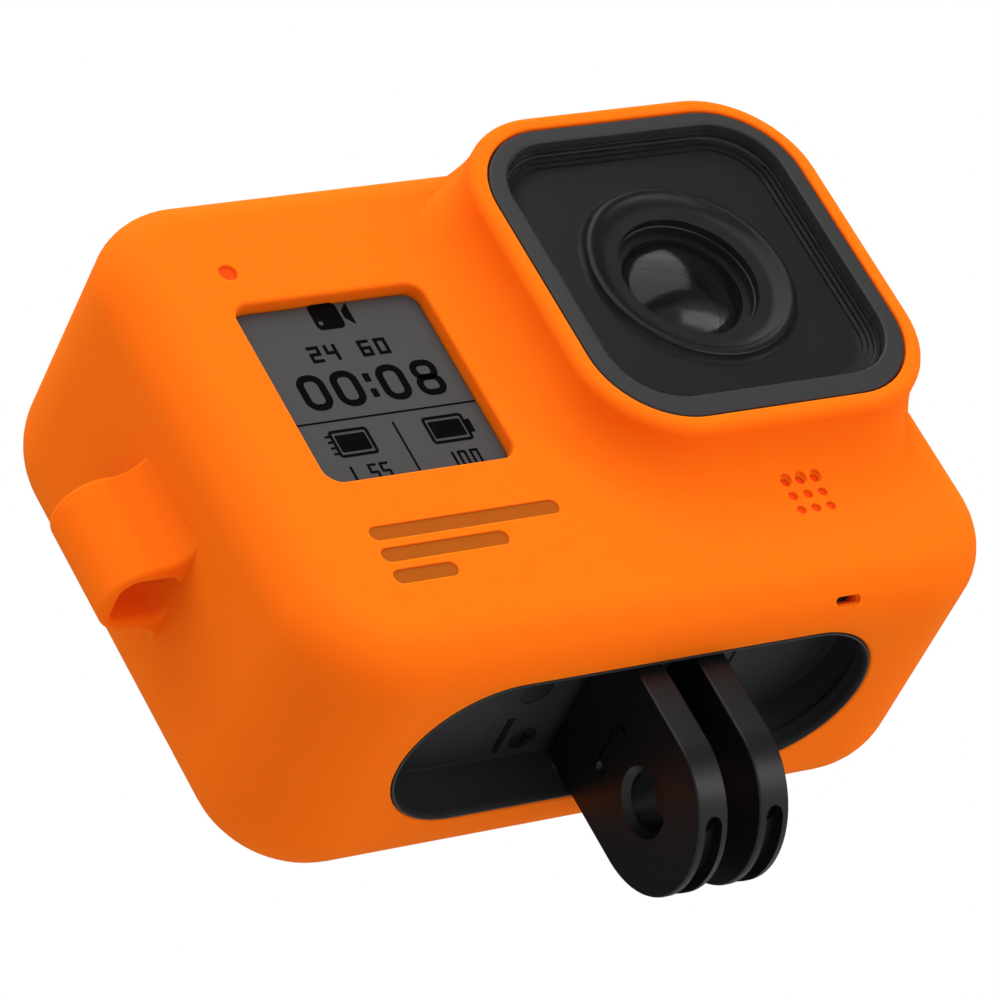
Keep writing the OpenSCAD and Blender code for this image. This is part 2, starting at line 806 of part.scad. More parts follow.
sleeve();
lanyard_loop();
front_casing();
rear_casing();
lens_bezel();
lens_window();
lens_window_gasket();
lens_surround();
lens_front_element();
lens_inner_elements();
lens_retaining_ring();
lens_barrel();
lens_holder();
infrared_filter();
image_sensor();
sensor_board();
status_display_window();
status_display_panel();
status_display_flex();
status_light_guide();
status_light();
front_microphone();
drain_microphone();
top_microphone();
rear_display_glass();
rear_display_panel();
rear_display_gasket();
chassis();
main_board();
board_chips();
chip_shields();
thermal_pad();
port_board();
battery();
battery_pull_tab();
battery_contacts();
usb_port();
card_slot();
memory_card();
side_door();
door_gasket();
door_latch();
door_hinge_pin();
speaker();
antenna();
casing_screws();
mount_tray();
mount_tray_screws();
tray_magnets();
hinge_pins();
hinge_washers();
shutter_bezel();
shutter_boot();
mode_boot();
shutter_button();
mode_button();
left_finger();
right_finger();
left_finger_keeper();
right_finger_keeper();
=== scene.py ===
import json
import logging
import math
from dataclasses import dataclass
from enum import Enum
from typing import Any, ClassVar, Optional, Sequence, Union

import bmesh
import bpy
from mathutils import Matrix, Vector


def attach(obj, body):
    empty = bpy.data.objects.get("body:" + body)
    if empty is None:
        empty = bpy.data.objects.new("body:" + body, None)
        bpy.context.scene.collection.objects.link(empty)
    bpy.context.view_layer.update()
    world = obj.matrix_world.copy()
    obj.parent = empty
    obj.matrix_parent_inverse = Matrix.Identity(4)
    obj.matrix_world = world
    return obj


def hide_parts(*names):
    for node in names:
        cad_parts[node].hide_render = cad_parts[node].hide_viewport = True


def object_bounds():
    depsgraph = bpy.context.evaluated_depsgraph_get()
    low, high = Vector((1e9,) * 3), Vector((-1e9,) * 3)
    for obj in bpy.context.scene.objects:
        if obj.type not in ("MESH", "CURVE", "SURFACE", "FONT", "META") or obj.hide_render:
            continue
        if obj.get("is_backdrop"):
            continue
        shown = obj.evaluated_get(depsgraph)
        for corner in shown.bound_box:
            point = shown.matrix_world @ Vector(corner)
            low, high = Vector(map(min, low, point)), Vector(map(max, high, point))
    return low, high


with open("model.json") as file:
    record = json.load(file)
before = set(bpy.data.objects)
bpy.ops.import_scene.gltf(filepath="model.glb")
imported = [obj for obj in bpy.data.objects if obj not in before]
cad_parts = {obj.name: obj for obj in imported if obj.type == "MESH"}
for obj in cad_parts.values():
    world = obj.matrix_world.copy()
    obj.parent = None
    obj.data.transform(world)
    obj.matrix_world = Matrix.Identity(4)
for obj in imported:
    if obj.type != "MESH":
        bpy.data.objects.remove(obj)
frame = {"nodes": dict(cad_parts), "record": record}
CAD_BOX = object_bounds()

logging.basicConfig(level=logging.INFO, format="%(message)s")
logger = logging.getLogger("camera")

Triple = tuple[float, float, float]
Colour = Triple
Point = tuple[float, float]
Ring = list[Triple]

MM = 0.001
BODY_AT = Vector((-0.7, 2.05, 34.0))  # the body's centre from the frame's, in millimetres
HINGE_AT = Vector((0.0, 0.0, 0.0))  # the fingers' bore, which is the frame's origin
CORNERS = ((1, 1), (-1, 1), (-1, -1), (1, -1))
MERGE = 1e-4  # vertices nearer than this are one, in millimetres


# ---------- shader tools ----------


class Wire:
    """An output socket that takes part in Python arithmetic."""

    def __init__(self, paint: "Paint", socket: bpy.types.NodeSocket) -> None:
        """Keeps the node tree's builder and the socket."""
        self.paint = paint
        self.socket = socket

    def also(self, output: Union[str, int]) -> "Wire":
        """Gives another output of the same node."""
        return Wire(self.paint, self.socket.node.outputs[output])

    def _math(self, operation: str, first: "Value", second: "Value") -> "Wire":
        """Adds one Math node."""
        return self.paint.node("ShaderNodeMath", {"operation": operation}, {0: first, 1: second})

    def __add__(self, other: "Value") -> "Wire":
        """Adds."""
        return self._math("ADD", self, other)

    def __radd__(self, other: "Value") -> "Wire":
        """Adds, from the right."""
        return self._math("ADD", other, self)

    def __sub__(self, other: "Value") -> "Wire":
        """Subtracts."""
        return self._math("SUBTRACT", self, other)

    def __rsub__(self, other: "Value") -> "Wire":
        """Subtracts, from the right."""
        return self._math("SUBTRACT", other, self)

    def __mul__(self, other: "Value") -> "Wire":
        """Multiplies."""
        return self._math("MULTIPLY", self, other)

    def __rmul__(self, other: "Value") -> "Wire":
        """Multiplies, from the right."""
        return self._math("MULTIPLY", other, self)

    def above(self, limit: float) -> "Wire":
        """Gives 1 where the value is above a limit, and 0 elsewhere."""
        return self._math("GREATER_THAN", self, limit)


Value = Union[Wire, float]


class Paint:
    """Builds the node tree of one material."""

    def __init__(self, name: str) -> None:
        """Makes an empty material with an output."""
        self.material = bpy.data.materials.new(name)
        self.material.use_nodes = True
        self.tree = self.material.node_tree
        self.tree.nodes.clear()
        self.output = self.tree.nodes.new("ShaderNodeOutputMaterial")
        self.place = self.node("ShaderNodeTexCoord").also("Object")

    def node(self, kind: str, settings: Optional[dict[str, Any]] = None,
             inputs: Optional[dict[Union[str, int], Any]] = None) -> Wire:
        """Adds a node.

        Args:
            kind: The node's type.
            settings: Its properties; "stops" are a colour ramp's places and colours.
            inputs: A value or a wire for each socket, by name or number.

        Returns:
            The node's first output.
        """
        made = self.tree.nodes.new(kind)
        for name, value in (settings or {}).items():
            if name == "stops":
                self._set_stops(made.color_ramp, value)
            else:
                setattr(made, name, value)
        for name, value in (inputs or {}).items():
            if isinstance(value, Wire):
                self.tree.links.new(value.socket, made.inputs[name])
            else:
                made.inputs[name].default_value = value
        return Wire(self, made.outputs[0])

    @staticmethod
    def _set_stops(ramp: bpy.types.ColorRamp, stops: Sequence[tuple[float, Colour]]) -> None:
        """Gives a colour ramp its stops."""
        while len(ramp.elements) < len(stops):
            ramp.elements.new(1.0)
        for element, (position, colour) in zip(ramp.elements, stops):
            element.position = position
            element.color = (*colour, 1.0)

    def noise(self, size: float, detail: float = 2.0, stretch: Triple = (1.0, 1.0, 1.0)) -> Wire:
        """Adds a noise texture.

        Args:
            size: The size of its features, in millimetres.
            detail: The number of finer layers.
            stretch: How much longer the features are along each axis.

        Returns:
            A value from 0 to 1.
        """
        scale = tuple(1.0 / length for length in stretch)
        turned = self.node("ShaderNodeMapping", {}, {"Vector": self.place, "Scale": scale})
        return self.node("ShaderNodeTexNoise", {},
                         {"Vector": turned, "Scale": 1.0 / (size * MM), "Detail": detail})

    def blend(self, share: Value, first: Any, second: Any) -> Wire:
        """Mixes two colours.

        Args:
            share: How much of the second colour shows.
            first: A colour or a wire.
            second: A colour or a wire.

        Returns:
            The mixed colour.
        """
        ends = [end if isinstance(end, Wire) else (*end, 1.0) for end in (first, second)]
        return self.node("ShaderNodeMix", {"data_type": "RGBA"},
                         {0: share, 6: ends[0], 7: ends[1]}).also(2)

    def bump(self, height: Wire, depth: float) -> Wire:
        """Gives a normal from a height of 0 to 1, for a depth in millimetres."""
        return self.node("ShaderNodeBump", {}, {"Height": height, "Distance": depth * MM})

    def shader(self, inputs: dict[Union[str, int], Any]) -> Wire:
        """Adds the surface shader."""
        return self.node("ShaderNodeBsdfPrincipled", {}, inputs)

    def finish(self, shader: Wire) -> bpy.types.Material:
        """Joins a shader to the output, and gives the material."""
        self.tree.links.new(shader.socket, self.output.inputs["Surface"])
        return self.material


# ---------- finishes ----------


def tint(colour: Colour, factor: float) -> Colour:
    """Gives a colour made lighter or darker."""
    return tuple(min(1.0, channel * factor) for channel in colour)


@dataclass(frozen=True)
class Finish:
    """A moulded or sprayed finish: fine grain, and a little unevenness in colour and gloss."""

    name: str
    colour: Colour
    roughness: float = 0.5
    metallic: float = 0.0
    specular: float = 0.5
    coat: float = 0.0
    grain: float = 0.25
    depth: float = 0.008
    mottle: float = 0.06
    soft: float = 0.0
    COAT_GLOSS: ClassVar[float] = 0.06
    SCATTER: ClassVar[Colour] = (1.0, 0.32, 0.1)
    SCATTER_DEPTH: ClassVar[float] = 3.0
    made: ClassVar[dict[str, bpy.types.Material]] = {}

    def material(self) -> bpy.types.Material:
        """Gives the finish's material, which is made once."""
        if self.name not in self.made:
            self.made[self.name] = self.paint()
        return self.made[self.name]

    def colouring(self, paint: Paint) -> Wire:
        """Gives the colour over the surface."""
        broad = paint.noise(5.0, 3.0)
        darker, lighter = (tint(self.colour, 1 + way * self.mottle) for way in (-1, 1))
        return paint.blend(broad, darker, lighter)

    def relief(self, paint: Paint) -> Wire:
        """Gives the height over the surface."""
        return paint.noise(self.grain, 2.0)

    def paint(self) -> bpy.types.Material:
        """Builds the material."""
        paint = Paint(self.name)
        height = self.relief(paint)
        gloss = (paint.noise(3.0, 2.0) - 0.5) * 0.12 + (height - 0.5) * 0.08 + self.roughness
        return paint.finish(paint.shader({
            "Base Color": self.colouring(paint),
            "Roughness": gloss,
            "Metallic": self.metallic,
            "Specular IOR Level": self.specular,
            "Coat Weight": self.coat,
            "Coat Roughness": self.COAT_GLOSS,
            "Subsurface Weight": self.soft,
            "Subsurface Radius": self.SCATTER,
            "Subsurface Scale": self.SCATTER_DEPTH * MM,
            "Normal": paint.bump(height, self.depth),
        }))


@dataclass(frozen=True)
class Brushed(Finish):
    """A metal with fine lines along one axis."""

    along: Triple = (14.0, 1.0, 1.0)

    def relief(self, paint: Paint) -> Wire:
        """Gives long fine scratches."""
        return paint.noise(0.12, 2.0, self.along)


@dataclass(frozen=True)
class Circuit(Finish):
    """A printed board: copper tracks under a solder mask."""

    tracks: Colour = (0.02, 0.16, 0.07)

    def colouring(self, paint: Paint) -> Wire:
        """Gives the mask, lighter where a track runs under it."""
        cells = paint.node("ShaderNodeTexVoronoi", {"distance": "MANHATTAN", "feature": "F1"},
                           {"Vector": paint.place, "Scale": 900.0, "Randomness": 0.6})
        return paint.blend(cells.above(0.42), self.colour, self.tracks)


@dataclass(frozen=True)
class Printed(Finish):
    """A wrap with plain printed bands along Z."""

    band: Colour = (0.5, 0.5, 0.5)

    def colouring(self, paint: Paint) -> Wire:
        """Gives the wrap's colour with its bands."""
        stripes = paint.node("ShaderNodeTexWave", {"bands_direction": "Z"},
                             {"Vector": paint.place, "Scale": 22.0, "Distortion": 0.0})
        return paint.blend(stripes.also(1).above(0.93), super().colouring(paint), self.band)


@dataclass(frozen=True)
class Segmented(Finish):
    """A reflective display with a fine grid of cells."""

    def colouring(self, paint: Paint) -> Wire:
        """Gives the display's grey, a little darker between the cells."""
        upright = paint.node("ShaderNodeMapping", {}, {
            "Vector": paint.place, "Rotation": (math.radians(90), 0.0, 0.0)})
        grid = paint.node("ShaderNodeTexBrick", {"offset": 0.0}, {
            "Vector": upright, "Scale": 6000.0, "Mortar Size": 0.05, "Brick Width": 1.0,
            "Row Height": 1.0})
        return paint.blend((1 - grid.also("Fac")) * 0.8, tint(self.colour, 0.9),
                           super().colouring(paint))


@dataclass(frozen=True)
class Clear(Finish):
    """Clear glass: what lies behind shows through, under the reflection."""

    bending: float = 1.45
    haze: float = 0.0

    def paint(self) -> bpy.types.Material:
        """Builds the material."""
        paint = Paint(self.name)
        smear = paint.noise(9.0, 3.0)
        normal = paint.bump(paint.noise(4.0, 1.0), self.depth)
        through = paint.node("ShaderNodeBsdfTransparent", {}, {"Color": (*self.colour, 1.0)})
        film = paint.shader({"Base Color": (0.0, 0.0, 0.0, 1.0),
                             "Roughness": smear * 0.06 + self.roughness,
                             "Metallic": 0.0, "Specular IOR Level": 1.0, "Normal": normal})
        shine = paint.node("ShaderNodeBsdfGlossy", {},
                           {"Roughness": smear * 0.04 + self.roughness, "Normal": normal})
        leaving = paint.node("ShaderNodeNewGeometry").also("Backfacing")
        facing = paint.node("ShaderNodeFresnel", {}, {"IOR": self.bending}) * (1 - leaving)
        veiled = paint.node("ShaderNodeMixShader", {}, {0: smear * self.haze, 1: through, 2: film})
        return paint.finish(paint.node("ShaderNodeMixShader", {}, {0: facing, 1: veiled, 2: shine}))


class Finishes:
    """The finishes of the camera, by the piece that they cover."""

    SILICONE = Finish("silicone_orange", (0.87, 0.141, 0.005), 0.6, specular=0.01, grain=0.18,
                      depth=0.006, mottle=0.012, soft=0.35)
    SILICONE_INLAY = Finish("silicone_shade", (0.34, 0.075, 0.006), 0.65, specular=0.015,
                            grain=0.18, depth=0.006, mottle=0.02)
    # Painted shade: a darker, redder copy of the silicone for the insides of the light hole and the
    # grille holes, standing in for their shade and the reddish light bounced within them.
    SILICONE_HOLE_SHADE = Finish("silicone_deep", (0.8, 0.062, 0.006), 0.65, specular=0.015, grain=0.18,
                           depth=0.006, mottle=0.02)
    CASING = Finish("casing_plastic", (0.028, 0.028, 0.029), 0.5, grain=0.12, depth=0.01)
    BEZEL = Finish("bezel_metal", (0.025, 0.025, 0.0255), 0.45, specular=0.2, grain=0.14,
                   depth=0.012)
    WINDOW = Clear("window_glass", (0.97, 0.97, 0.97), 0.02, depth=0.00003, bending=1.27)
    REAR_GLASS = Finish("rear_glass", (0.004, 0.004, 0.005), 0.06, grain=6.0, depth=0.0005,
                        mottle=0.3, coat=0.6)
    LENS_GLASS = Clear("lens_glass", (0.8, 0.8, 0.8), 0.13, depth=0.00003, bending=1.42)
    LENS_DARK = Finish("lens_dark", (0.003, 0.003, 0.003), 0.35, specular=0.12, grain=0.4,
                       depth=0.0005)
    LENS_BLACK = Finish("lens_black", (0.005, 0.005, 0.005), 0.45, specular=0.3, grain=0.1,
                        depth=0.01)
    FUNNEL = Finish("lens_funnel", (0.0075, 0.0072, 0.007), 0.33, specular=0.2, grain=0.12,
                    depth=0.0006)
    INNER = Finish("inner_plastic", (0.02, 0.02, 0.02), 0.55)
    FILTER = Clear("filter_glass", (0.55, 0.75, 0.8), 0.03, depth=0.001)
    SENSOR = Finish("sensor_black", (0.02, 0.012, 0.03), 0.15, grain=0.05, depth=0.001)
    BOARD = Circuit("board_green", (0.008, 0.07, 0.03), 0.35, grain=0.3)
    DISPLAY = Segmented("display_grey", (0.05, 0.05, 0.05), 0.4, specular=0.1, grain=0.4,
                        depth=0.001, mottle=0.03)
    DISPLAY_WINDOW = Clear("display_window", (0.8, 0.8, 0.8), 0.03, depth=0.001)
    INK = Finish("display_ink", (0.0015, 0.0015, 0.0015), 0.7, specular=0.02, grain=0.3,
                 depth=0.001)
    COPPER = Brushed("copper", (0.72, 0.36, 0.16), 0.35, metallic=1.0)
    GUIDE = Clear("light_guide", (0.9, 0.85, 0.8), 0.2)
    CREAM = Finish("light_cream", (0.7, 0.66, 0.5), 0.4)
    GOLD = Brushed("gold", (0.83, 0.6, 0.22), 0.25, metallic=1.0)
    PANEL = Finish("panel_dark", (0.006, 0.006, 0.008), 0.2, grain=0.4)
    RUBBER = Finish("black_rubber", (0.02, 0.02, 0.021), 0.75, grain=0.12, depth=0.02)
    RED_RUBBER = Finish("red_rubber", (0.35, 0.02, 0.015), 0.6, grain=0.12, depth=0.02)
    CHASSIS = Brushed("chassis_metal", (0.62, 0.63, 0.65), 0.38, metallic=1.0)
    THERMAL = Finish("thermal_grey", (0.25, 0.27, 0.3), 0.8, grain=0.2, depth=0.03)
    CHIP = Finish("chip_black", (0.015, 0.015, 0.016), 0.6, grain=0.06, depth=0.01)
    CARD = Finish("card_black", (0.02, 0.02, 0.022), 0.45)
    WRAP = Printed("battery_wrap", (0.09, 0.1, 0.12), 0.45, band=(0.45, 0.46, 0.48))
    TAB = Finish("pull_tab_white", (0.75, 0.75, 0.73), 0.6, grain=0.3, depth=0.02)
    STEEL = Brushed("steel", (0.58, 0.58, 0.6), 0.3, metallic=1.0)
    DARK_STEEL = Brushed("dark_steel", (0.06, 0.06, 0.062), 0.45, metallic=1.0)
    LATCH = Finish("latch_plastic", (0.03, 0.03, 0.032), 0.4)
    SPEAKER = Finish("speaker_plastic", (0.02, 0.02, 0.02), 0.5)
    BUTTON = Finish("button_plastic", (0.045, 0.045, 0.047), 0.4, grain=0.1, depth=0.006)
    FINGER = Finish("finger_plastic", (0.0035, 0.0035, 0.0037), 0.36, specular=0.28, grain=0.12,
                    depth=0.008)
    TRAY = Finish("tray_plastic", (0.021, 0.021, 0.0215), 0.55, specular=0.2, grain=0.12,
                  depth=0.01)
    FLOOR = Finish("pale_floor", (0.86, 0.86, 0.86), 0.9, specular=0.1, grain=2.0, depth=0.05,
                   mottle=0.005)

    @classmethod
    def by_slot(cls) -> dict[str, Finish]:
        """Gives each finish by its name, which is the record's slot where it has one."""
        return {value.name: value for value in vars(cls).values() if isinstance(value, Finish)}


# ---------- modelling tools ----------


class Facing(Enum):
    """Which way a shape's depth runs; its u and v lie across."""

    FRONT = ((1, 0, 0), (0, 0, 1), (0, 1, 0))
    LEVEL = ((1, 0, 0), (0, 1, 0), (0, 0, 1))
    SIDE = ((0, 1, 0), (0, 0, 1), (1, 0, 0))

    def place(self, u: float, v: float, depth: float) -> Vector:
        """Gives the point at u, v and depth."""
        across, up, along = self.value
        return Vector(across) * u + Vector(up) * v + Vector(along) * depth


def arc(u: float, v: float, radius: float, first: float, last: float, steps: int) -> list[Point]:
    """Gives points on an arc.

    Args:
        u: The centre.
        v: The centre.
        radius: The radius.
        first: The first angle, in degrees.
        last: The last angle, in degrees.
        steps: How many steps there are between the two.

    Returns:
        The points, from the first angle to the last.
    """
    turns = [math.radians(first + (last - first) * k / steps) for k in range(steps + 1)]
    return [(u + radius * math.cos(turn), v + radius * math.sin(turn)) for turn in turns]


@dataclass(frozen=True)
class Outline:
    """A rectangle with round corners."""

    width: float
    height: float
    radius: float
    u: float = 0.0
    v: float = 0.0
    steps: int = 10

    def ring(self, depth: float, grow: float = 0.0) -> Ring:
        """Gives the outline at a depth.

        Args:
            depth: The depth of every point.
            grow: How far the outline moves outwards.

        Returns:
            The points, once round.
        """
        half_w, half_h = self.width / 2 + grow, self.height / 2 + grow
        radius = min(max(self.radius + grow, 0.02), half_w - 0.005, half_h - 0.005)
        points: Ring = []
        for corner, (su, sv) in enumerate(CORNERS):
            centre = (self.u + su * (half_w - radius), self.v + sv * (half_h - radius))
            for u, v in arc(*centre, radius, 90 * corner, 90 * corner + 90, self.steps):
                points.append((u, v, depth))
        return points


def stadium(left: float, right: float, half: float, v: float = 0.0, steps: int = 12) -> Outline:
    """Gives a stadium between two ends."""
    return Outline(right - left, 2 * half, half, (left + right) / 2, v, steps)


def quarter(steps: int, sweep: float = 90.0) -> list[float]:
    """Gives the turns from 0 to a sweep in degrees, in radians."""
    return [math.radians(sweep * k / steps) for k in range(steps + 1)]


def rounded(outline: Outline, depth: float, radius: float, way: int = 1, steps: int = 4,
            side: int = -1) -> list[Ring]:
    """Gives the rings of a round edge, from the face at a depth to the wall.

    Args:
        outline: The wall's outline.
        depth: The face's depth.
        radius: The edge's radius; with 0 there is one ring.
        way: 1 where the wall runs to higher depths, and -1 to lower ones.
        steps: How many steps the edge has.
        side: -1 for an outer wall, and 1 for the wall of a hole.

    Returns:
        The rings.
    """
    turns = quarter(steps) if radius else [math.pi / 2]
    return [outline.ring(depth + way * radius * (1 - math.cos(turn)),
                         side * radius * (1 - math.sin(turn))) for turn in turns]


def ease(share: float) -> float:
    """Gives a share from 0 to 1 with a soft start and end."""
    return share * share * (3 - 2 * share)


class Shape:
    """A mesh in the making, in millimetres."""

    def __init__(self, facing: Facing = Facing.FRONT) -> None:
        """Starts with nothing."""
        self.bm = bmesh.new()
        self.facing = facing
        self.cut_already = False

    def _next_loop(self, verts: list[bmesh.types.BMVert], ring: Ring) -> list[bmesh.types.BMVert]:
        """Extrudes a loop of edges, and brings the new loop to a ring."""
        edges = [self.bm.edges.get(pair) for pair in zip(verts, verts[1:] + verts[:1])]
        made = bmesh.ops.extrude_edge_only(self.bm, edges=edges)["geom"]
        fresh = {item for item in made if isinstance(item, bmesh.types.BMVert)}
        grown = []
        for vert, point in zip(verts, ring):
            other = next(edge.other_vert(vert) for edge in vert.link_edges
                         if edge.other_vert(vert) in fresh)
            other.co = self.facing.place(*point)
            grown.append(other)
        return grown

    def _cap(self, verts: list[bmesh.types.BMVert]) -> None:
        """Closes a loop with a face."""
        edges = [self.bm.edges.get(pair) for pair in zip(verts, verts[1:] + verts[:1])]
        bmesh.ops.contextual_create(self.bm, geom=edges)

    def loft(self, rings: Sequence[Ring], closed: bool = False) -> "Shape":
        """Adds a skin over rings of equal count.

        Args:
            rings: The rings in order.
            closed: Whether the last ring meets the first; otherwise both ends are capped.

        Returns:
            The shape.
        """
        first = [self.bm.verts.new(self.facing.place(*point)) for point in rings[0]]
        for pair in zip(first, first[1:] + first[:1]):
            self.bm.edges.new(pair)
        last = first
        for ring in [*rings[1:], rings[0]] if closed else rings[1:]:
            last = self._next_loop(last, ring)
        if not closed:
            self._cap(first)
            self._cap(last)
        return self

    def plate(self, outline: Outline, near: float, far: float, near_edge: float = 0.0,
              far_edge: float = 0.0, steps: int = 4) -> "Shape":
        """Adds a plate with round edges.

        Args:
            outline: Its outline.
            near: The lower depth.
            far: The higher depth.
            near_edge: The radius of the edge at the lower depth.
            far_edge: The radius of the edge at the higher depth.
            steps: How many steps an edge has.

        Returns:
            The shape.
        """
        upper = rounded(outline, far, far_edge, -1, steps)
        return self.loft(rounded(outline, near, near_edge, 1, steps) + upper[::-1])

    def band(self, outer: Outline, inner: Outline, near: float, far: float, edge: float = 0.0,
             steps: int = 3) -> "Shape":
        """Adds a plate with a hole through it, with round edges at the lower depth.

        Args:
            outer: The outline outside.
            inner: The outline of the hole.
            near: The lower depth.
            far: The higher depth.
            edge: The radius of both edges at the lower depth.
            steps: How many steps an edge has.

        Returns:
            The shape.
        """
        hole = rounded(inner, near, edge, 1, steps, side=1)
        rings = rounded(outer, near, edge, 1, steps) + [outer.ring(far), inner.ring(far)]
        return self.loft(rings + hole[::-1], closed=True)

    def mouth(self, outline: Outline, inside: float, surface: float, lip: float = 0.3,
              reach: float = 1.0, steps: int = 5) -> "Shape":
        """Adds a cutter that leaves a round lip on the surface that it opens through.

        Args:
            outline: The outline of the opening.
            inside: The depth where the cutter ends within.
            surface: The depth of the surface.
            lip: The lip's radius.
            reach: How far the cutter stands out of the surface.
            steps: How many steps the lip has.

        Returns:
            The shape.
        """
        way = 1 if surface > inside else -1
        turns = quarter(steps, 78)
        rings = [outline.ring(inside)]
        rings += [outline.ring(surface - way * lip * (1 - math.sin(turn)),
                               lip * (1 - math.cos(turn))) for turn in turns]
        wide = lip * (1 - math.cos(turns[-1])) + 0.587 * lip
        rings += [outline.ring(surface + way * rise, wide) for rise in (0.103 * lip, reach)]
        return self.loft(rings)

    def _bevel(self, edges: list[bmesh.types.BMEdge], radius: float, steps: int) -> None:
        """Rounds edges."""
        bmesh.ops.bevel(self.bm, geom=edges, offset=radius, offset_type="OFFSET", segments=steps,
                        profile=0.5, affect="EDGES", material=-1, clamp_overlap=True)

    def prism(self, points: Sequence[Point], near: float, far: float, edge: float = 0.0,
              steps: int = 3) -> "Shape":
        """Adds a plate of any outline, extruded and bevelled.

        Args:
            points: The outline.
            near: The lower depth.
            far: The higher depth.
            edge: The radius of its edges.
            steps: How many steps an edge has.

        Returns:
            The shape.
        """
        kept = set(self.bm.edges)
        verts = [self.bm.verts.new(self.facing.place(u, v, near)) for u, v in points]
        base = self.bm.faces.new(verts)
        grown = bmesh.ops.extrude_face_region(self.bm, geom=[base], use_keep_orig=True)["geom"]
        tops = [item for item in grown if isinstance(item, bmesh.types.BMVert)]
        bmesh.ops.translate(self.bm, verts=tops, vec=self.facing.place(0, 0, far - near))
        if edge:
            along = self.facing.place(0, 0, 1)
            rim = [e for e in self.bm.edges if e not in kept
                   and abs((e.verts[0].co - e.verts[1].co).dot(along)) < 1e-6]
            self._bevel(rim, edge, steps)
        return self

    def turned(self, profile: Sequence[Point], u: float, v: float, steps: int = 72,
               closed: bool = False) -> "Shape":
        """Adds a turned shape about the depth axis through u, v.

        Args:
            profile: Radius and depth of each point.
            u: The axis.
            v: The axis.
            steps: How many steps there are round.
            closed: Whether the profile's last point meets its first.

        Returns:
            The shape.
        """
        verts = [self.bm.verts.new(self.facing.place(u + radius, v, depth))
                 for radius, depth in profile]
        edges = [self.bm.edges.new(pair) for pair in zip(verts, verts[1:])]
        if closed:
            edges.append(self.bm.edges.new((verts[-1], verts[0])))
        bmesh.ops.spin(self.bm, geom=verts + edges, cent=self.facing.place(u, v, 0),
                       axis=self.facing.place(0, 0, 1), dvec=(0, 0, 0), angle=math.tau, steps=steps,
                       space=Matrix.Identity(4), use_merge=True, use_normal_flip=False,
                       use_duplicate=False)
        return self

    def box(self, low: Triple, high: Triple, edge: float = 0.0, steps: int = 2) -> "Shape":
        """Adds a block, in x, y and z whatever the facing, with round edges.

        Args:
            low: Its lowest corner.
            high: Its highest corner.
            edge: The radius of its edges.
            steps: How many steps an edge has.

        Returns:
            The shape.
        """
        size = [b - a for a, b in zip(low, high)]
        centre = [(a + b) / 2 for a, b in zip(low, high)]
        matrix = Matrix.Translation(centre) @ Matrix.Diagonal((*size, 1.0))
        made = bmesh.ops.create_cube(self.bm, size=1.0, matrix=matrix)["verts"]
        if edge:
            edges = list(dict.fromkeys(e for vert in made for e in vert.link_edges))
            self._bevel(edges, edge, steps)
        return self

    def turn(self, matrix: Matrix) -> "Shape":
        """Moves or turns everything made so far."""
        bmesh.ops.transform(self.bm, matrix=matrix, verts=self.bm.verts)
        return self

    def tidy(self) -> "Shape":
        """Closes seams and poles, and turns the faces outwards."""
        bmesh.ops.remove_doubles(self.bm, verts=self.bm.verts, dist=MERGE)
        bmesh.ops.dissolve_degenerate(self.bm, edges=self.bm.edges, dist=MERGE / 10)
        if not self.cut_already:
            bmesh.ops.recalc_face_normals(self.bm, faces=self.bm.faces)
        return self

    def _object(self, name: str) -> bpy.types.Object:
        """Makes an object of the mesh."""
        self.tidy()
        mesh = bpy.data.meshes.new(name)
        self.bm.to_mesh(mesh)
        made = bpy.data.objects.new(name, mesh)
        bpy.context.scene.collection.objects.link(made)
        return made

    def combine(self, operation: str, others: Sequence["Shape"]) -> "Shape":
        """Joins other shapes to this one, or cuts them from it.

        Args:
            operation: UNION or DIFFERENCE.
            others: The other shapes, which are used up.

        Returns:
            The shape.
        """
        base = self._object("base")
        group = bpy.data.collections.new("operands")
        bpy.context.scene.collection.children.link(group)
        tools = [other._object("operand") for other in others]
        for tool in tools:
            group.objects.link(tool)
        modifier = base.modifiers.new("combine", "BOOLEAN")
        modifier.operation = operation
        modifier.solver = "EXACT"
        modifier.operand_type = "COLLECTION"
        modifier.collection = group
        result = evaluated(base)
        self.bm.clear()
        self.bm.from_mesh(result)
        self.cut_already = True
        for made in (base, *tools):
            bpy.data.objects.remove(made)
        bpy.data.collections.remove(group)
        bpy.data.meshes.remove(result)
        return self

    def join(self, *others: "Shape") -> "Shape":
        """Joins other shapes to this one."""
        return self.combine("UNION", others)

    def cut(self, *others: "Shape") -> "Shape":
        """Cuts other shapes from this one."""
        return self.combine("DIFFERENCE", others)


def evaluated(made: bpy.types.Object) -> bpy.types.Mesh:
    """Gives a new mesh with the object's modifiers applied."""
    graph = bpy.context.evaluated_depsgraph_get()
    return bpy.data.meshes.new_from_object(made.evaluated_get(graph), preserve_all_data_layers=True,
                                           depsgraph=graph)


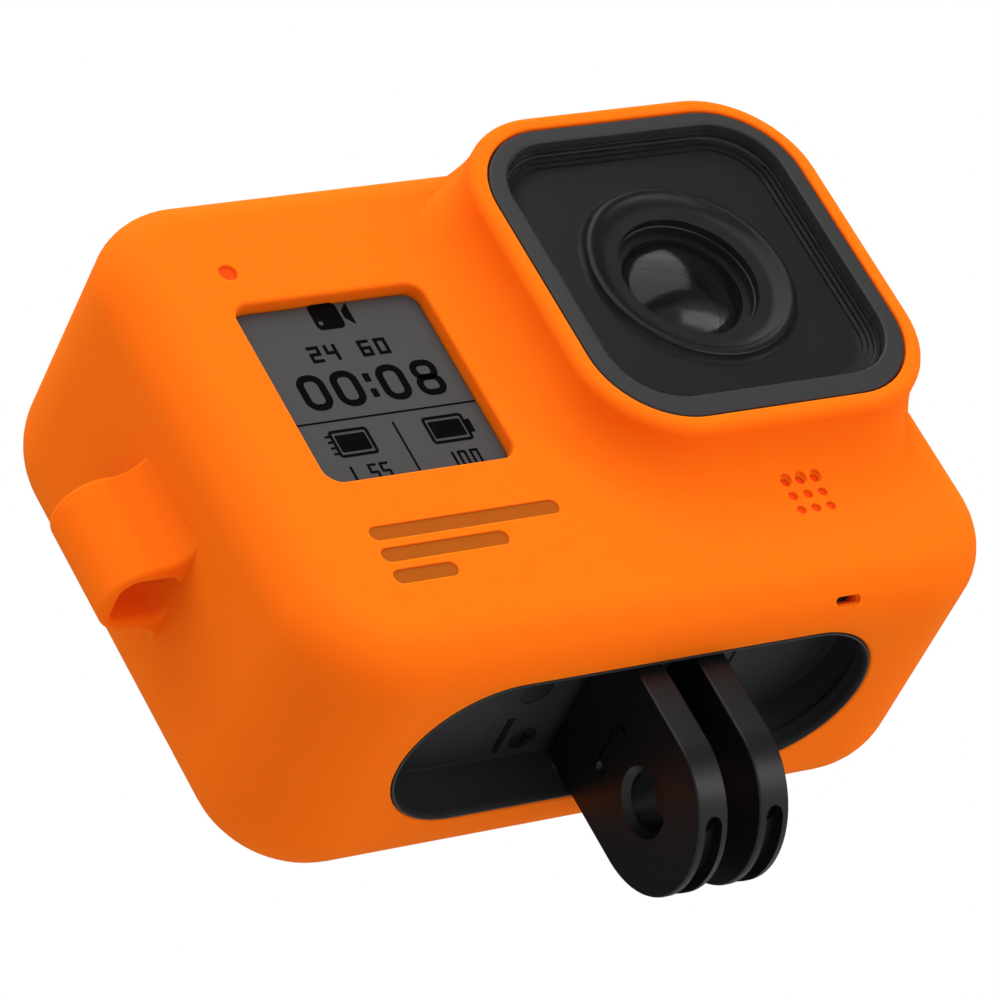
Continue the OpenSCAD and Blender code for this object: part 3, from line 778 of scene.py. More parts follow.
@dataclass(frozen=True)
class Piece:
    """What a finished piece is called, is covered with, moves with and stands for."""

    name: str
    finish: Finish
    slot: str
    body: str = "camera"
    replaces: tuple[str, ...] = ()
    at: Vector = BODY_AT
    angle: float = 32.0

    def make(self, shape: Shape) -> bpy.types.Object:
        """Makes the piece from its shape.

        Args:
            shape: The shape, in millimetres about the piece's own centre.

        Returns:
            The finished object, in the frame's metres.
        """
        shape.tidy().turn(Matrix.Scale(MM, 4) @ Matrix.Translation(self.at))
        mesh = bpy.data.meshes.new(self.name)
        shape.bm.to_mesh(mesh)
        shape.bm.free()
        made = bpy.data.objects.new(self.name, mesh)
        bpy.context.scene.collection.objects.link(made)
        mesh.shade_smooth()
        mesh.set_sharp_from_angle(angle=math.radians(self.angle))
        weights = made.modifiers.new("weights", "WEIGHTED_NORMAL")
        weights.keep_sharp = True
        weights.mode = "FACE_AREA"
        smooth = evaluated(made)
        made.modifiers.clear()
        made.data = smooth
        smooth.materials.clear()
        smooth.materials.append(self.finish.material())
        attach(made, self.body)
        if self.replaces:
            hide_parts(*self.replaces)
        logger.info("%s: %d faces", self.name, len(smooth.polygons))
        return made


# ---------- the sleeve ----------


@dataclass
class Sleeve:
    """The silicone sleeve with its lens hood and its lanyard loop, about the body's centre."""

    width: float = 70.0
    height: float = 53.0
    front: float = -15.3
    rear: float = 15.3
    corner: float = 9.8
    front_round: float = 4.2
    rear_round: float = 8.0
    wall: float = 1.72
    bottom: float = -26.5
    hood: Outline = Outline(35.5, 36.5, 9.55, 16.7, 7.6, 16)
    hood_front: float = -20.4
    hood_round: float = 0.9
    flare: float = 4.0
    flare_steps: int = 14
    loop_nose: float = 3.9
    loop_root: float = 2.7
    loop_reach: float = 7.0
    loop_middle: float = -1.3
    loop_low: float = -5.4
    loop_high: float = 5.1
    loop_lip: float = 0.7
    loop_hole: Outline = Outline(5.5, 4.8, 1.4, -37.75, -1.3, 8)
    lens_opening: Outline = Outline(32.26, 33.26, 7.93, 16.7, 7.6, 14)
    display_opening: Outline = Outline(18.7, 19.6, 1.6, -16.45, 3.35, 10)
    rear_opening: Outline = Outline(56.0, 39.0, 6.0, steps=12)
    mount_opening: Outline = stadium(-24.2, 23.2, 8.85, -2.05, 20)
    shutter_opening: Outline = stadium(-23.7, -8.3, 6.0, 0.4)
    mode_opening: Outline = Outline(7.0, 14.4, 3.5, 1.0, 2.5)
    drain_slot: Outline = Outline(2.3, 0.62, 0.3, 0.0, 0.0, 5)
    drain_at: Vector = Vector((16.75, -13.55, -25.25))
    light_at: Point = (-24.3, 16.7)
    grille_at: Point = (17.85, -15.0)
    grille_pitch: float = 1.55
    top_holes_at: Point = (16.7, 4.0)
    top_pitch: float = 1.8
    hole_lip: float = 0.12
    mark_lip: float = 0.08
    mark_bars: tuple[Outline, ...] = (
        Outline(18.6, 1.5, 0.75, -15.6, -12.2, 6), Outline(12.4, 1.5, 0.75, -18.7, -14.5, 6),
        Outline(6.2, 1.5, 0.75, -21.8, -16.8, 6))

    def outline(self) -> Outline:
        """Gives the sleeve's outline from the front."""
        return Outline(self.width, self.height, self.corner, steps=16)

    def block(self) -> Shape:
        """Builds the solid block with its two roundings."""
        front = rounded(self.outline(), self.front, self.front_round, 1, 10)
        rear = rounded(self.outline(), self.rear, self.rear_round, -1, 14)
        return Shape().loft(front + rear[::-1])

    def _edge_distance(self, u: float, v: float) -> float:
        """Gives how far a point lies inside the sleeve's outline.

        Args:
            u: The point.
            v: The point.

        Returns:
            The distance, in millimetres.
        """
        inner_w, inner_h = self.width / 2 - self.corner, self.height / 2 - self.corner
        du, dv = abs(u) - inner_w, abs(v) - inner_h
        if du > 0 and dv > 0:
            return self.corner - math.hypot(du, dv)
        return self.corner - max(du, dv)

    def _front_depth(self, inset: float) -> float:
        """Gives the depth of the block's front at an inset from its outline."""
        if inset >= self.front_round:
            return self.front
        reach = self.front_round - max(inset, 0.0)
        rise = math.sqrt(max(self.front_round ** 2 - reach ** 2, 0.0))
        return self.front + self.front_round - rise

    def hood_block(self) -> Shape:
        """Builds the hood, whose foot sweeps out into the block's front."""
        steps = self.flare_steps
        least = math.radians(8)
        upper = self.front - self.flare
        rings = rounded(self.hood, self.hood_front, self.hood_round, 1, 6)
        base, wide = self.hood.ring(0.0), self.hood.ring(0.0, 1.0)
        full = self.flare * (1 - math.sin(least))
        for k in range(steps + 3):
            share = min(k / steps, 1.0)
            turn = math.pi / 2 + (least - math.pi / 2) * share
            ring: Ring = []
            for (u, v, _), (wu, wv, _) in zip(base, wide):
                room = self._edge_distance(u, v)
                reach = min(full, room - 0.03)
                foot = self._front_depth(room - reach) - 0.04 * (reach / full)
                soft = ease(min(max((4.0 - room) / 3.3, 0.0), 1.0))
                climb = (math.cos(least) - math.cos(turn)) / math.cos(least)
                round_off = reach * (1 - math.sin(turn)) / (1 - math.sin(least))
                round_depth = foot + (upper - foot) * climb
                plain_off = reach * ease(share)
                plain_depth = upper + (foot - upper) * share
                off = round_off * (1 - soft) + plain_off * soft
                depth = round_depth * (1 - soft) + plain_depth * soft
                if k == steps + 1:
                    off += 0.6 * (1 - soft)
                    depth += 0.1 + 0.3 * soft
                if k == steps + 2:
                    off -= 1.2
                    depth = max(depth, self.front) + 2.5
                ring.append((u + (wu - u) * off, v + (wv - v) * off, depth))
            rings.append(ring)
        return Shape().loft(rings)

    def loop(self) -> Shape:
        """Builds the lanyard loop on the left side."""
        side, middle = -self.width / 2, self.loop_middle
        nose, root = self.loop_nose, self.loop_root
        centre = side - self.loop_reach + nose
        points = [(side + 1.5, middle + nose + root - 0.6)]
        points += arc(side - root, middle + nose + root, root, -8, -90, 8)
        points += arc(centre, middle, nose, 90, 270, 24)
        points += arc(side - root, middle - nose - root, root, 90, 8, 8)
        points += [(side + 1.5, middle - nose - root + 0.6)]
        low, high, lip, hole = self.loop_low, self.loop_high, self.loop_lip, self.loop_hole
        upper, lower = (
            [hole.ring(end - way * lip * (1 - math.sin(turn)), lip * (1 - math.cos(turn)))
             for turn in quarter(5, 80)] for end, way in ((high, 1), (low, -1)))
        above, below = hole.ring(high + 1, lip * 1.5), hole.ring(low - 1, lip * 1.5)
        cutter = Shape(Facing.LEVEL).loft([below, *lower[::-1], *upper, above])
        return Shape(Facing.LEVEL).prism(points, low, high, 0.8, 4).cut(cutter)

    def inside(self) -> Shape:
        """Builds the room for the camera."""
        outline = Outline(self.width - 2 * self.wall, self.height - 2 * self.wall,
                          self.corner - self.wall, steps=12)
        return Shape().plate(outline, self.front + 1.62, self.rear - 1.32, 2.6, 6.5, 8)

    def grille(self, size: float, steps: int) -> list[Outline]:
        """Gives the nine holes of the grille."""
        u, v = self.grille_at
        return [Outline(size, size, size / 2, u + self.grille_pitch * column,
                        v + self.grille_pitch * row, steps)
                for column in (-1, 0, 1) for row in (-1, 0, 1)]

    def openings(self) -> list[Shape]:
        """Builds the cutters of every opening."""
        below = Shape(Facing.LEVEL).mouth(self.mount_opening, -21.0, self.bottom, 0.3)
        above = Shape(Facing.LEVEL).mouth(self.shutter_opening, 21.0, -self.bottom, 0.5)
        cutters = [
            Shape().mouth(self.lens_opening, -9.0, self.hood_front, 0.3),
            Shape().mouth(self.display_opening, -9.0, self.front, 0.35),
            Shape().mouth(self.rear_opening, 9.0, self.rear, 0.6), below, above,
            Shape(Facing.SIDE).mouth(self.mode_opening, 30.0, self.width / 2, 0.5),
            Shape().mouth(Outline(1.7, 1.7, 0.85, *self.light_at, 6), -12.0, self.front,
                          self.hole_lip),
        ]
        cutters += [Shape().mouth(hole, -12.0, self.front, self.hole_lip, steps=3)
                    for hole in self.grille(0.9, 5)]
        slot = Shape(Facing.LEVEL).mouth(self.drain_slot, 4.0, 0.0, 0.1, steps=3)
        slant = Matrix.Rotation(math.radians(-45), 4, "X")
        cutters.append(slot.turn(Matrix.Translation(self.drain_at) @ slant))
        u, v = self.top_holes_at
        for k in (-1, 0, 1):
            hole = Outline(0.9, 0.9, 0.45, u + self.top_pitch * k, v, 5)
            cutters.append(Shape(Facing.LEVEL).mouth(hole, 23.0, -self.bottom, self.hole_lip,
                                                     steps=3))
        return cutters

    def build(self) -> None:
        """Builds the sleeve, the inlays of its mark, and the liners of painted shade in its holes.
        """
        shape = self.block().join(self.hood_block()).join(self.loop())
        shape.cut(self.inside())
        marks = [Shape().mouth(bar, self.front + 0.22, self.front, self.mark_lip, steps=2)
                 for bar in self.mark_bars]
        shape.cut(*self.openings(), *marks)
        Piece("sleeve_silicone", Finishes.SILICONE, "silicone_orange",
              replaces=("sleeve", "lanyard_loop")).make(shape)
        inlay = Shape()
        for bar in self.mark_bars:
            inlay.plate(bar, self.front + 0.16, self.front + 0.24)
        Piece("sleeve_mark", Finishes.SILICONE_INLAY, "silicone_orange").make(inlay)
        # The liners carry painted shade: their darker, redder silicone stands in for the shade and
        # bounced light inside the light hole and the grille holes.
        deep = Shape()
        for hole in [Outline(1.68, 1.68, 0.84, *self.light_at, 8), *self.grille(0.88, 5)]:
            deep.plate(hole, self.front + 0.3, self.front + 1.4)
        Piece("sleeve_hole_liners", Finishes.SILICONE_HOLE_SHADE, "silicone_orange").make(deep)


# ---------- the status display ----------


@dataclass
class StatusDisplay:
    """The small display beside the lens, with plain figures and symbols."""

    opening: Outline = Outline(18.4, 19.3, 1.5, -16.45, 3.35, 8)
    face: float = -14.0
    rear: float = -12.4
    ink: float = 0.05
    sunk: float = 0.02
    line: float = 0.26
    SEGMENTS: ClassVar[dict[str, str]] = {
        "0": "abcdef", "1": "bc", "2": "abged", "4": "fgbc", "5": "afgcd", "6": "afgedc"}
    # left, right, low, high, stroke and corner radius
    RINGS: ClassVar[tuple[tuple[float, ...], ...]] = (
        (-23.0, -20.35, 1.93, 5.8, 0.66, 1.2), (-19.72, -17.07, 1.93, 5.8, 0.66, 1.2),
        (-15.2, -12.55, 1.93, 5.8, 0.66, 1.2), (-11.72, -9.22, 3.6, 5.8, 0.62, 1.0),
        (-11.8, -9.14, 1.93, 4.22, 0.62, 1.05))
    COLON: ClassVar[tuple[tuple[float, ...], ...]] = (
        (-16.42, -15.82, 4.27, 5.17), (-16.42, -15.82, 2.57, 3.47))

    def _bar(self, shape: Shape, left: float, right: float, low: float, high: float,
             radius: float = 0.06) -> None:
        """Adds one printed bar."""
        outline = Outline(right - left, high - low, radius, (left + right) / 2, (low + high) / 2, 3)
        shape.plate(outline, self.face - self.ink, self.face + self.sunk)

    def _ring(self, shape: Shape, left: float, right: float, low: float, high: float,
              stroke: float, radius: float) -> None:
        """Adds one printed ring."""
        outer = Outline(right - left, high - low, radius, (left + right) / 2, (low + high) / 2, 6)
        inner = Outline(right - left - 2 * stroke, high - low - 2 * stroke,
                        max(radius - stroke, 0.1), outer.u, outer.v, 6)
        shape.band(outer, inner, self.face - self.ink, self.face + self.sunk)

    def _figure(self, shape: Shape, figure: str, left: float, low: float, width: float,
                height: float, stroke: float) -> None:
        """Adds a small figure from bars, as a segment display draws it.

        Args:
            shape: The shape that gets the bars.
            figure: The figure, which SEGMENTS holds.
            left: Its left side.
            low: Its foot.
            width: Its width.
            height: Its height.
            stroke: The bars' width.
        """
        right, high, middle, half = left + width, low + height, low + height / 2, stroke / 2
        names = self.SEGMENTS[figure]
        gap = 0.01
        top = high - (stroke + gap if "a" in names else 0.0)
        foot = low + (stroke + gap if "d" in names else 0.0)
        above, below = (middle + side * (half * ("g" in names) + gap) for side in (1, -1))
        bars = {"a": (left, right, high - stroke, high), "d": (left, right, low, low + stroke),
                "g": (left, right, middle - half, middle + half),
                "f": (left, left + stroke, above, top), "e": (left, left + stroke, foot, below),
                "b": (right - stroke, right, above, top), "c": (right - stroke, right, foot, below)}
        for name in names:
            self._bar(shape, *bars[name])

    def _row(self, shape: Shape, figures: str, left: float, low: float, width: float,
             height: float, pitch: float, stroke: float) -> None:
        """Adds a row of small figures.

        Args:
            shape: The shape that gets the figures.
            figures: The figures; a space leaves a gap.
            left: The left side of the first.
            low: Their foot.
            width: The width of each.
            height: The height of each.
            pitch: From one figure's left side to the next one's.
            stroke: The bars' width.
        """
        for place, figure in enumerate(figures):
            if figure != " ":
                self._figure(shape, figure, left + place * pitch, low, width, height, stroke)

    def _camera_symbol(self) -> Shape:
        """Builds the sign of a film camera, with its small round hole."""
        shape = Shape()
        near, far = self.face - self.ink, self.face + self.sunk
        shape.plate(Outline(2.75, 2.8, 0.5, -16.62, 11.7, 4), near, far)
        shape.cut(Shape().plate(Outline(0.5, 0.5, 0.25, -17.45, 11.05, 4), self.face - 1,
                                self.face + 1))
        horn = [(-14.95, 11.3), (-14.2, 10.5), (-14.2, 12.9), (-14.95, 12.1)]
        return shape.prism(horn, near, far)

    def _cell_symbol(self, shape: Shape, left: float, right: float) -> None:
        """Adds a ring with a block in it, for the card and the battery."""
        self._ring(shape, left, right, -3.2, -0.3, self.line, 0.35)
        self._bar(shape, left + 0.45, right - 0.45, -2.65, -0.85, 0.1)

    def symbols(self) -> Shape:
        """Builds everything that the display shows."""
        shape = Shape()
        for ring in self.RINGS:
            self._ring(shape, *ring)
        for bar in self.COLON:
            self._bar(shape, *bar)
        self._row(shape, "24 60", -20.2, 6.95, 1.15, 1.75, 1.65, 0.3)
        body = self._camera_symbol()
        self._bar(shape, self.opening.u - 9.1, self.opening.u + 9.1, 0.63, 0.78, 0.02)
        self._bar(shape, -16.18, -16.02, -6.2, -0.25, 0.02)
        self._cell_symbol(shape, -22.6, -18.8)
        for k in range(4):
            self._bar(shape, -23.05, -22.62, -0.95 - 0.62 * k, -0.75 - 0.62 * k, 0.02)
        self._cell_symbol(shape, -13.4, -9.4)
        self._bar(shape, -9.38, -8.93, -2.45, -1.05, 0.1)
        self._row(shape, "1 55", -23.0, -6.0, 0.85, 1.8, 1.15, 0.22)
        self._row(shape, "100", -13.0, -6.0, 0.85, 1.8, 1.2, 0.22)
        solid = bpy.data.meshes.new("symbols")
        body.tidy().bm.to_mesh(solid)
        shape.tidy().bm.from_mesh(solid)
        bpy.data.meshes.remove(solid)
        return shape

    def build(self) -> None:
        """Builds the display and what it shows."""
        Piece("status_display_face", Finishes.DISPLAY, "display_grey",
              replaces=("status_display_window", "status_display_panel")).make(
                  Shape().plate(self.opening, self.face, self.rear, 0.08))
        Piece("status_display_symbols", Finishes.INK, "display_grey").make(self.symbols())


# ---------- the lens ----------


@dataclass
class Lens:
    """The lens behind its square window."""

    u: float = 16.7
    v: float = 7.6
    bezel: Outline = Outline(32.0, 33.0, 7.8, 16.7, 7.6, 14)
    window: Outline = Outline(28.55, 29.3, 5.95, 16.82, 7.95, 14)
    front: float = -20.3
    rear: float = -19.0
    window_front: float = -20.15
    window_rear: float = -19.3
    floor: float = -18.2
    ring: float = 9.3
    throat: float = 6.7
    dome_front: float = -18.75
    dome_radius: float = 8.2
    dome_edge: float = 6.35
    dome_thick: float = 3.2
    bowl_edge: float = 6.3
    round_steps: int = 96

    def inner(self, inset: float) -> Outline:
        """Gives the window's outline moved inwards."""
        window = self.window
        return Outline(window.width - 2 * inset, window.height - 2 * inset, window.radius - inset,
                       window.u, window.v, window.steps)

    def turned(self, profile: Sequence[Point], closed: bool = False) -> Shape:
        """Builds a turned shape about the lens's axis."""
        return Shape().turned(profile, self.u, self.v, self.round_steps, closed)

    def bezel_ring(self) -> Shape:
        """Builds the bezel."""
        return Shape().band(self.bezel, self.window, self.front, self.rear, 0.22, 4)

    def funnel(self) -> Shape:
        """Builds the stepped surround with its round crest and throat."""
        outer, floor, ring, throat = self.inner(0.06), self.floor, self.ring, self.throat
        steps = ((self.window_rear, 0.1), (self.window_rear + 0.05, 0.15), (-19.02, 0.17),
                 (-18.98, 0.45), (-18.74, 0.48), (-18.7, 0.8), (-18.46, 0.84), (-18.42, 1.2),
                 (floor - 0.02, 1.24), (floor, 1.34))
        rings = [outer.ring(floor + 1.0), outer.ring(self.window_rear)]
        rings += [outer.ring(depth, -inset) for depth, inset in steps]
        rings += [outer.ring(floor, -3.0), outer.ring(floor + 1.0, -3.0)]
        shape = Shape().loft(rings, closed=True)
        shape.join(Shape().plate(self.inner(2.0), floor, floor + 1.0))
        crest = floor - 0.8
        profile = [(0.0, floor + 0.9), (ring + 1.3, floor + 0.9), (ring + 1.3, floor + 0.03),
                   (ring + 0.8, floor - 0.02), (ring + 0.5, floor - 0.3),
                   (ring + 0.35, crest + 0.12), (ring + 0.2, crest + 0.02), (ring, crest),
                   (ring - 0.25, crest + 0.03), (ring - 0.42, crest + 0.12),
                   (ring - 0.55, crest + 0.26), (ring - 0.75, crest + 0.34),
                   (throat + 0.3, floor + 0.35), (throat, floor + 0.55), (0.0, floor + 0.55)]
        shape.join(self.turned(profile))
        drill = [(0.0, floor + 2), (throat - 0.1, floor + 2), (throat - 0.1, -20.0), (0.0, -20.0)]
        return shape.cut(self.turned(drill))

    def dome(self) -> Shape:
        """Builds the front lens with its domed face."""
        radius, edge, front = self.dome_radius, self.dome_edge, self.dome_front
        reach = math.asin(edge / radius)
        turns = [reach * k / 20 for k in range(21)]
        profile = [(radius * math.sin(turn), front + radius * (1 - math.cos(turn)))
                   for turn in turns]
        back = front + self.dome_thick
        return self.turned([*profile, (edge, back), (0.0, back)])

    def bowl(self) -> Shape:
        """Builds the hollow glossy surface deep in the lens."""
        shares = [k / 16 for k in range(17)]
        profile = [(self.bowl_edge * share, -12.9 - 2.4 * share ** 2) for share in shares]
        return self.turned([*profile, (6.5, -15.2), (6.5, -11.5), (0.0, -11.5)])

    def retaining(self) -> Shape:
        """Builds the ring that holds the front lens."""
        outer = self.throat - 0.12
        profile = [(outer, -15.2), (outer, -17.45), (self.throat - 0.2, -17.52),
                   (self.throat - 0.3, -17.45), (6.38, -17.2), (6.38, -15.2)]
        return self.turned(profile, closed=True)

    def build(self) -> None:
        """Builds the pieces of the lens."""
        pane = Shape().plate(self.inner(0.03), self.window_front, self.window_rear, 0.06, 0.0, 2)
        for name, finish, slot, replaces, shape in (
                ("lens_bezel_ring", Finishes.BEZEL, "bezel_metal", ("lens_bezel",),
                 self.bezel_ring()),
                ("lens_window_pane", Finishes.WINDOW, "window_glass", ("lens_window",), pane),
                ("lens_funnel", Finishes.FUNNEL, "lens_black",
                 ("lens_surround", "lens_window_gasket"), self.funnel()),
                ("lens_front_glass", Finishes.LENS_GLASS, "lens_glass", ("lens_front_element",),
                 self.dome()),
                ("lens_retainer", Finishes.LENS_BLACK, "lens_black", ("lens_retaining_ring",),
                 self.retaining()),
                ("lens_inner_bowl", Finishes.LENS_DARK, "lens_glass", ("lens_inner_elements",),
                 self.bowl())):
            Piece(name, finish, slot, replaces=replaces).make(shape)


# ---------- the folding mount ----------


@dataclass
class MountTray:
    """The black recess under the camera, about the fingers' bore."""

    left: float = -24.6
    right: float = 22.7
    half: float = 8.5
    mouth_left: float = -24.83
    mouth_right: float = 22.43
    mouth_half: float = 8.78
    low: float = 7.55
    case_low: float = 9.3
    top: float = 12.72
    back: float = 13.9
    hinge_x: float = 3.1
    hinge_z: float = 10.92
    round_steps: int = 20
    magnet_x: float = 8.4
    magnet_radius: float = 1.56
    screw_at: Point = (7.1, 6.6)
    slot_at: Point = (9.5, 5.9)
    slot_half: Point = (0.4, 2.5)
    rib_x: float = 1.45
    ledge_x: float = 15.6

    def stadium(self, left: float, right: float, half: float) -> Outline:
        """Gives a stadium with the tray's number of steps."""
        return stadium(left, right, half, steps=self.round_steps)

    def shell(self) -> Shape:
        """Builds the tray with its rim and its hollow."""
        outer = self.stadium(self.left - 1.6, self.right + 1.6, self.half + 1.7)
        rim = self.stadium(self.mouth_left, self.mouth_right, self.mouth_half)
        shape = Shape(Facing.LEVEL).plate(outer, self.case_low, self.back)
        shape.join(Shape(Facing.LEVEL).plate(rim, self.low, self.case_low + 0.5, 0.08, 0.0, 2))
        hollow = self.stadium(self.left, self.right, self.half)
        waist = self.stadium(self.left + 0.05, self.mouth_right - 0.28, self.half)
        lip = self.stadium(self.left + 0.1, self.mouth_right - 0.33, self.half - 0.05)
        low, case_low, top = self.low, self.case_low, self.top
        cutter = Shape(Facing.LEVEL).loft([
            lip.ring(6.0, 0.15), lip.ring(low - 0.02, 0.15), lip.ring(low + 0.25, 0.0),
            lip.ring(low + 0.8, 0.0), waist.ring(low + 0.95), waist.ring(case_low),
            hollow.ring(case_low + 0.1), hollow.ring(top - 0.35), hollow.ring(top - 0.1, -0.1),
            hollow.ring(top, -0.35)])
        return shape.cut(cutter)

    def details(self) -> list[Shape]:
        """Builds the ribs and ledges inside the tray."""
        made = [Shape().box((-self.rib_x, -8.6, 9.8), (self.rib_x, 8.6, 13.0), 0.25, 3)]
        for side in (-1, 1):
            middle = side * self.ledge_x
            made.append(Shape().box((middle - 4.0, -8.1, 12.52), (middle + 4.0, 8.1, 13.2), 0.12))
        return made

    def cutters(self) -> list[Shape]:
        """Builds the pin holes, the screw seats, the slots and the magnet seats."""
        made = []
        for side in (-1, 1):
            pin = [(0.0, -10.0), (0.77, -10.0), (0.77, 10.0), (0.0, 10.0)]
            made.append(Shape().turned(pin, side * self.hinge_x, self.hinge_z, 24))
            radius = self.magnet_radius
            seat = [(0.0, 12.0), (radius, 12.0), (radius, 13.6), (0.0, 13.6)]
            made.append(Shape(Facing.LEVEL).turned(seat, side * self.magnet_x, 0.0, 32))
            for end in (-1, 1):
                screw = [(0.0, 12.0), (1.32, 12.0), (1.32, 13.05), (0.82, 13.05), (0.82, 15.0),
                         (0.0, 15.0)]
                x, y = side * self.screw_at[0], end * self.screw_at[1]
                made.append(Shape(Facing.LEVEL).turned(screw, x, y, 32))
                (x, y), (wide, long) = self.slot_at, self.slot_half
                x, y = side * x, end * y
                made.append(Shape().box((x - wide, y - long, 12.4), (x + wide, y + long, 13.4),
                                        0.1))
        return made

    def build(self) -> None:
        """Builds the tray."""
        shape = self.shell().join(*self.details()).cut(*self.cutters())
        Piece("mount_tray_recess", Finishes.TRAY, "casing_plastic", replaces=("mount_tray",),
              at=HINGE_AT).make(shape)


@dataclass
class Finger:
    """One folding finger, about the centre of its bore."""

    side: int
    thick: float = 3.0
    gap: float = 3.2
    radius: float = 8.0
    bore: float = 2.56
    hinge_z: float = 10.92
    edge: float = 0.24
    pocket_half: float = 0.85
    pocket_floor: float = 6.9
    pocket_turns: Point = (234.0, 306.0)

    def grooves(self, outer: float, middle: float) -> list[Shape]:
        """Builds the cutters of the groove on the outer face and of the pocket in the rim.

        Args:
            outer: Where the outer face is.
            middle: The middle of the finger's thickness.

        Returns:
            The cutters.
        """
        way = self.side
        near, far = sorted((outer - way * 0.35, outer + way * 0.5))
        made = [Shape(Facing.SIDE).plate(Outline(4.8, 0.36, 0.17, -0.3, 6.5, 4), near, far),
                Shape(Facing.SIDE).plate(Outline(0.36, 1.4, 0.17, -2.66, 5.9, 4), near, far)]
        dimple = [(0.0, outer - way * 0.3), (0.3, outer - way * 0.25), (0.62, outer + way * 0.01),
                  (0.8, outer + way * 0.3), (0.0, outer + way * 0.3)]
        made.append(Shape(Facing.SIDE).turned(dimple, 2.6, 5.75, 24))
        wide, (first, last) = self.pocket_half, self.pocket_turns
        points = arc(0, 0, self.pocket_floor, first, last, 30) + arc(0, 0, 9.0, last, first, 30)
        pocket = Shape(Facing.SIDE).prism(points, middle - wide, middle + wide)
        reach = wide - 0.06
        profile = [(0.0, 6.6), (reach, 6.6), (reach, 9.0), (0.0, 9.0)]
        upright = Matrix.Rotation(math.radians(90), 4, "Z")
        ends = []
        for degrees in (first, last):
            drill = Shape(Facing.SIDE).turned(profile, 0, 0, 24)
            turn = Matrix.Rotation(math.radians(degrees), 4, "X") @ upright
            ends.append(drill.turn(Matrix.Translation((middle, 0, 0)) @ turn))
        made.append(pocket.join(*ends))
        return made

    def shape(self) -> Shape:
        """Builds the finger."""
        middle = self.side * (self.gap + self.thick) / 2
        low, high = middle - self.thick / 2, middle + self.thick / 2
        outer = self.side * (self.gap / 2 + self.thick)
        radius = self.radius
        points = arc(0, 0, radius, 180, 360, 48)
        points += [(radius, self.hinge_z), (-radius, self.hinge_z)]
        shape = Shape(Facing.SIDE).prism(points, low, high, self.edge, 3)
        rod = [(0.0, -radius), (1.3, -radius), (1.5, -radius + 0.2), (1.5, radius - 0.2),
               (1.3, radius), (0.0, radius)]
        shape.join(Shape().turned(rod, middle, self.hinge_z, 48))
        cutters = []
        hole = [(0.0, low - 1), (self.bore, low - 1), (self.bore, high + 1), (0.0, high + 1)]
        cutters.append(Shape(Facing.SIDE).turned(hole, 0.0, 0.0, 72))
        way = self.side
        flare = [(0.0, outer - way * 0.62), (self.bore - 0.02, outer - way * 0.62),
                 (self.bore + 0.56, outer + way * 0.01), (self.bore + 0.76, outer + way * 0.2),
                 (0.0, outer + way * 0.2)]
        cutters.append(Shape(Facing.SIDE).turned(flare, 0.0, 0.0, 72))
        pin = [(0.0, -9.0), (0.8, -9.0), (0.8, 9.0), (0.0, 9.0)]
        cutters.append(Shape().turned(pin, middle, self.hinge_z, 24))
        return shape.cut(*cutters, *self.grooves(outer, middle))

    def build(self) -> None:
        """Builds the finger on its own body."""
        name = "left_finger" if self.side < 0 else "right_finger"
        Piece(name + "_moulding", Finishes.FINGER, "finger_plastic", body=name,
              replaces=(name, name + "_keeper"), at=HINGE_AT).make(self.shape())


# ---------- buttons and the back ----------


@dataclass
class Buttons:
    """The shutter button on top and the mode button on the right side."""

    edge: float = 0.35
    shutter: Outline = Outline(12.0, 8.6, 4.3, -16.0, 0.4, 12)
    mode: Outline = Outline(4.6, 12.0, 2.3, 1.0, 2.5, 12)
    ring_outer: Outline = Outline(4.6, 4.6, 2.3, -16.0, 0.4, 10)
    ring_inner: Outline = Outline(3.6, 3.6, 1.8, -16.0, 0.4, 10)

    def dished(self, facing: Facing, outline: Outline, low: float, high: float,
               dish: float) -> Shape:
        """Builds a button with a round edge and a dished face.

        Args:
            facing: Which way the button looks.
            outline: Its outline.
            low: The depth of its back.
            high: The depth of its face.
            dish: How deep the dish is.

        Returns:
            The shape.
        """
        edge = self.edge
        rings = [outline.ring(low), *rounded(outline, high, edge, -1, 4)[::-1]]
        least = min(outline.width, outline.height) / 2
        for k in range(1, 7):
            share = k / 6
            inset = edge + (least - edge - 0.1) * share
            rings.append(outline.ring(high - dish * (1 - (1 - share) ** 2), -inset))
        return Shape(facing).loft(rings)

    def build(self) -> None:
        """Builds both buttons, and the ring round the shutter button."""
        shape = self.dished(Facing.LEVEL, self.shutter, 23.8, 25.4, 0.35)
        stem = [(0.0, 22.3), (2.0, 22.3), (2.0, 24.0), (0.0, 24.0)]
        shape.join(Shape(Facing.LEVEL).turned(stem, self.shutter.u, self.shutter.v, 32))
        Piece("shutter_cap", Finishes.BUTTON, "button_plastic", body="shutter",
              replaces=("shutter_button",)).make(shape)
        ring = Shape(Facing.LEVEL).band(self.ring_outer, self.ring_inner, 24.9, 25.16)
        Piece("shutter_ring", Finishes.RED_RUBBER, "button_plastic", body="shutter").make(ring)
        shape = self.dished(Facing.SIDE, self.mode, 32.3, 33.8, 0.2)
        stem = [(0.0, 31.0), (1.4, 31.0), (1.4, 32.5), (0.0, 32.5)]
        shape.join(Shape(Facing.SIDE).turned(stem, self.mode.u, self.mode.v, 32))
        Piece("mode_cap", Finishes.BUTTON, "button_plastic", body="mode",
              replaces=("mode_button",)).make(shape)


@dataclass
class Back:
    """The large glass at the back."""

    glass: Outline = Outline(53.1, 36.1, 4.0, steps=12)
    near: float = 12.7
    far: float = 13.9

    def build(self) -> None:
        """Builds the glass with its round edge."""
        glass = Shape().plate(self.glass, self.near, self.far, 0.0, 0.35, 4)
        Piece("rear_glass_plate", Finishes.REAR_GLASS, "rear_glass",
              replaces=("rear_display_glass",)).make(glass)


# ---------- carried-over pieces ----------


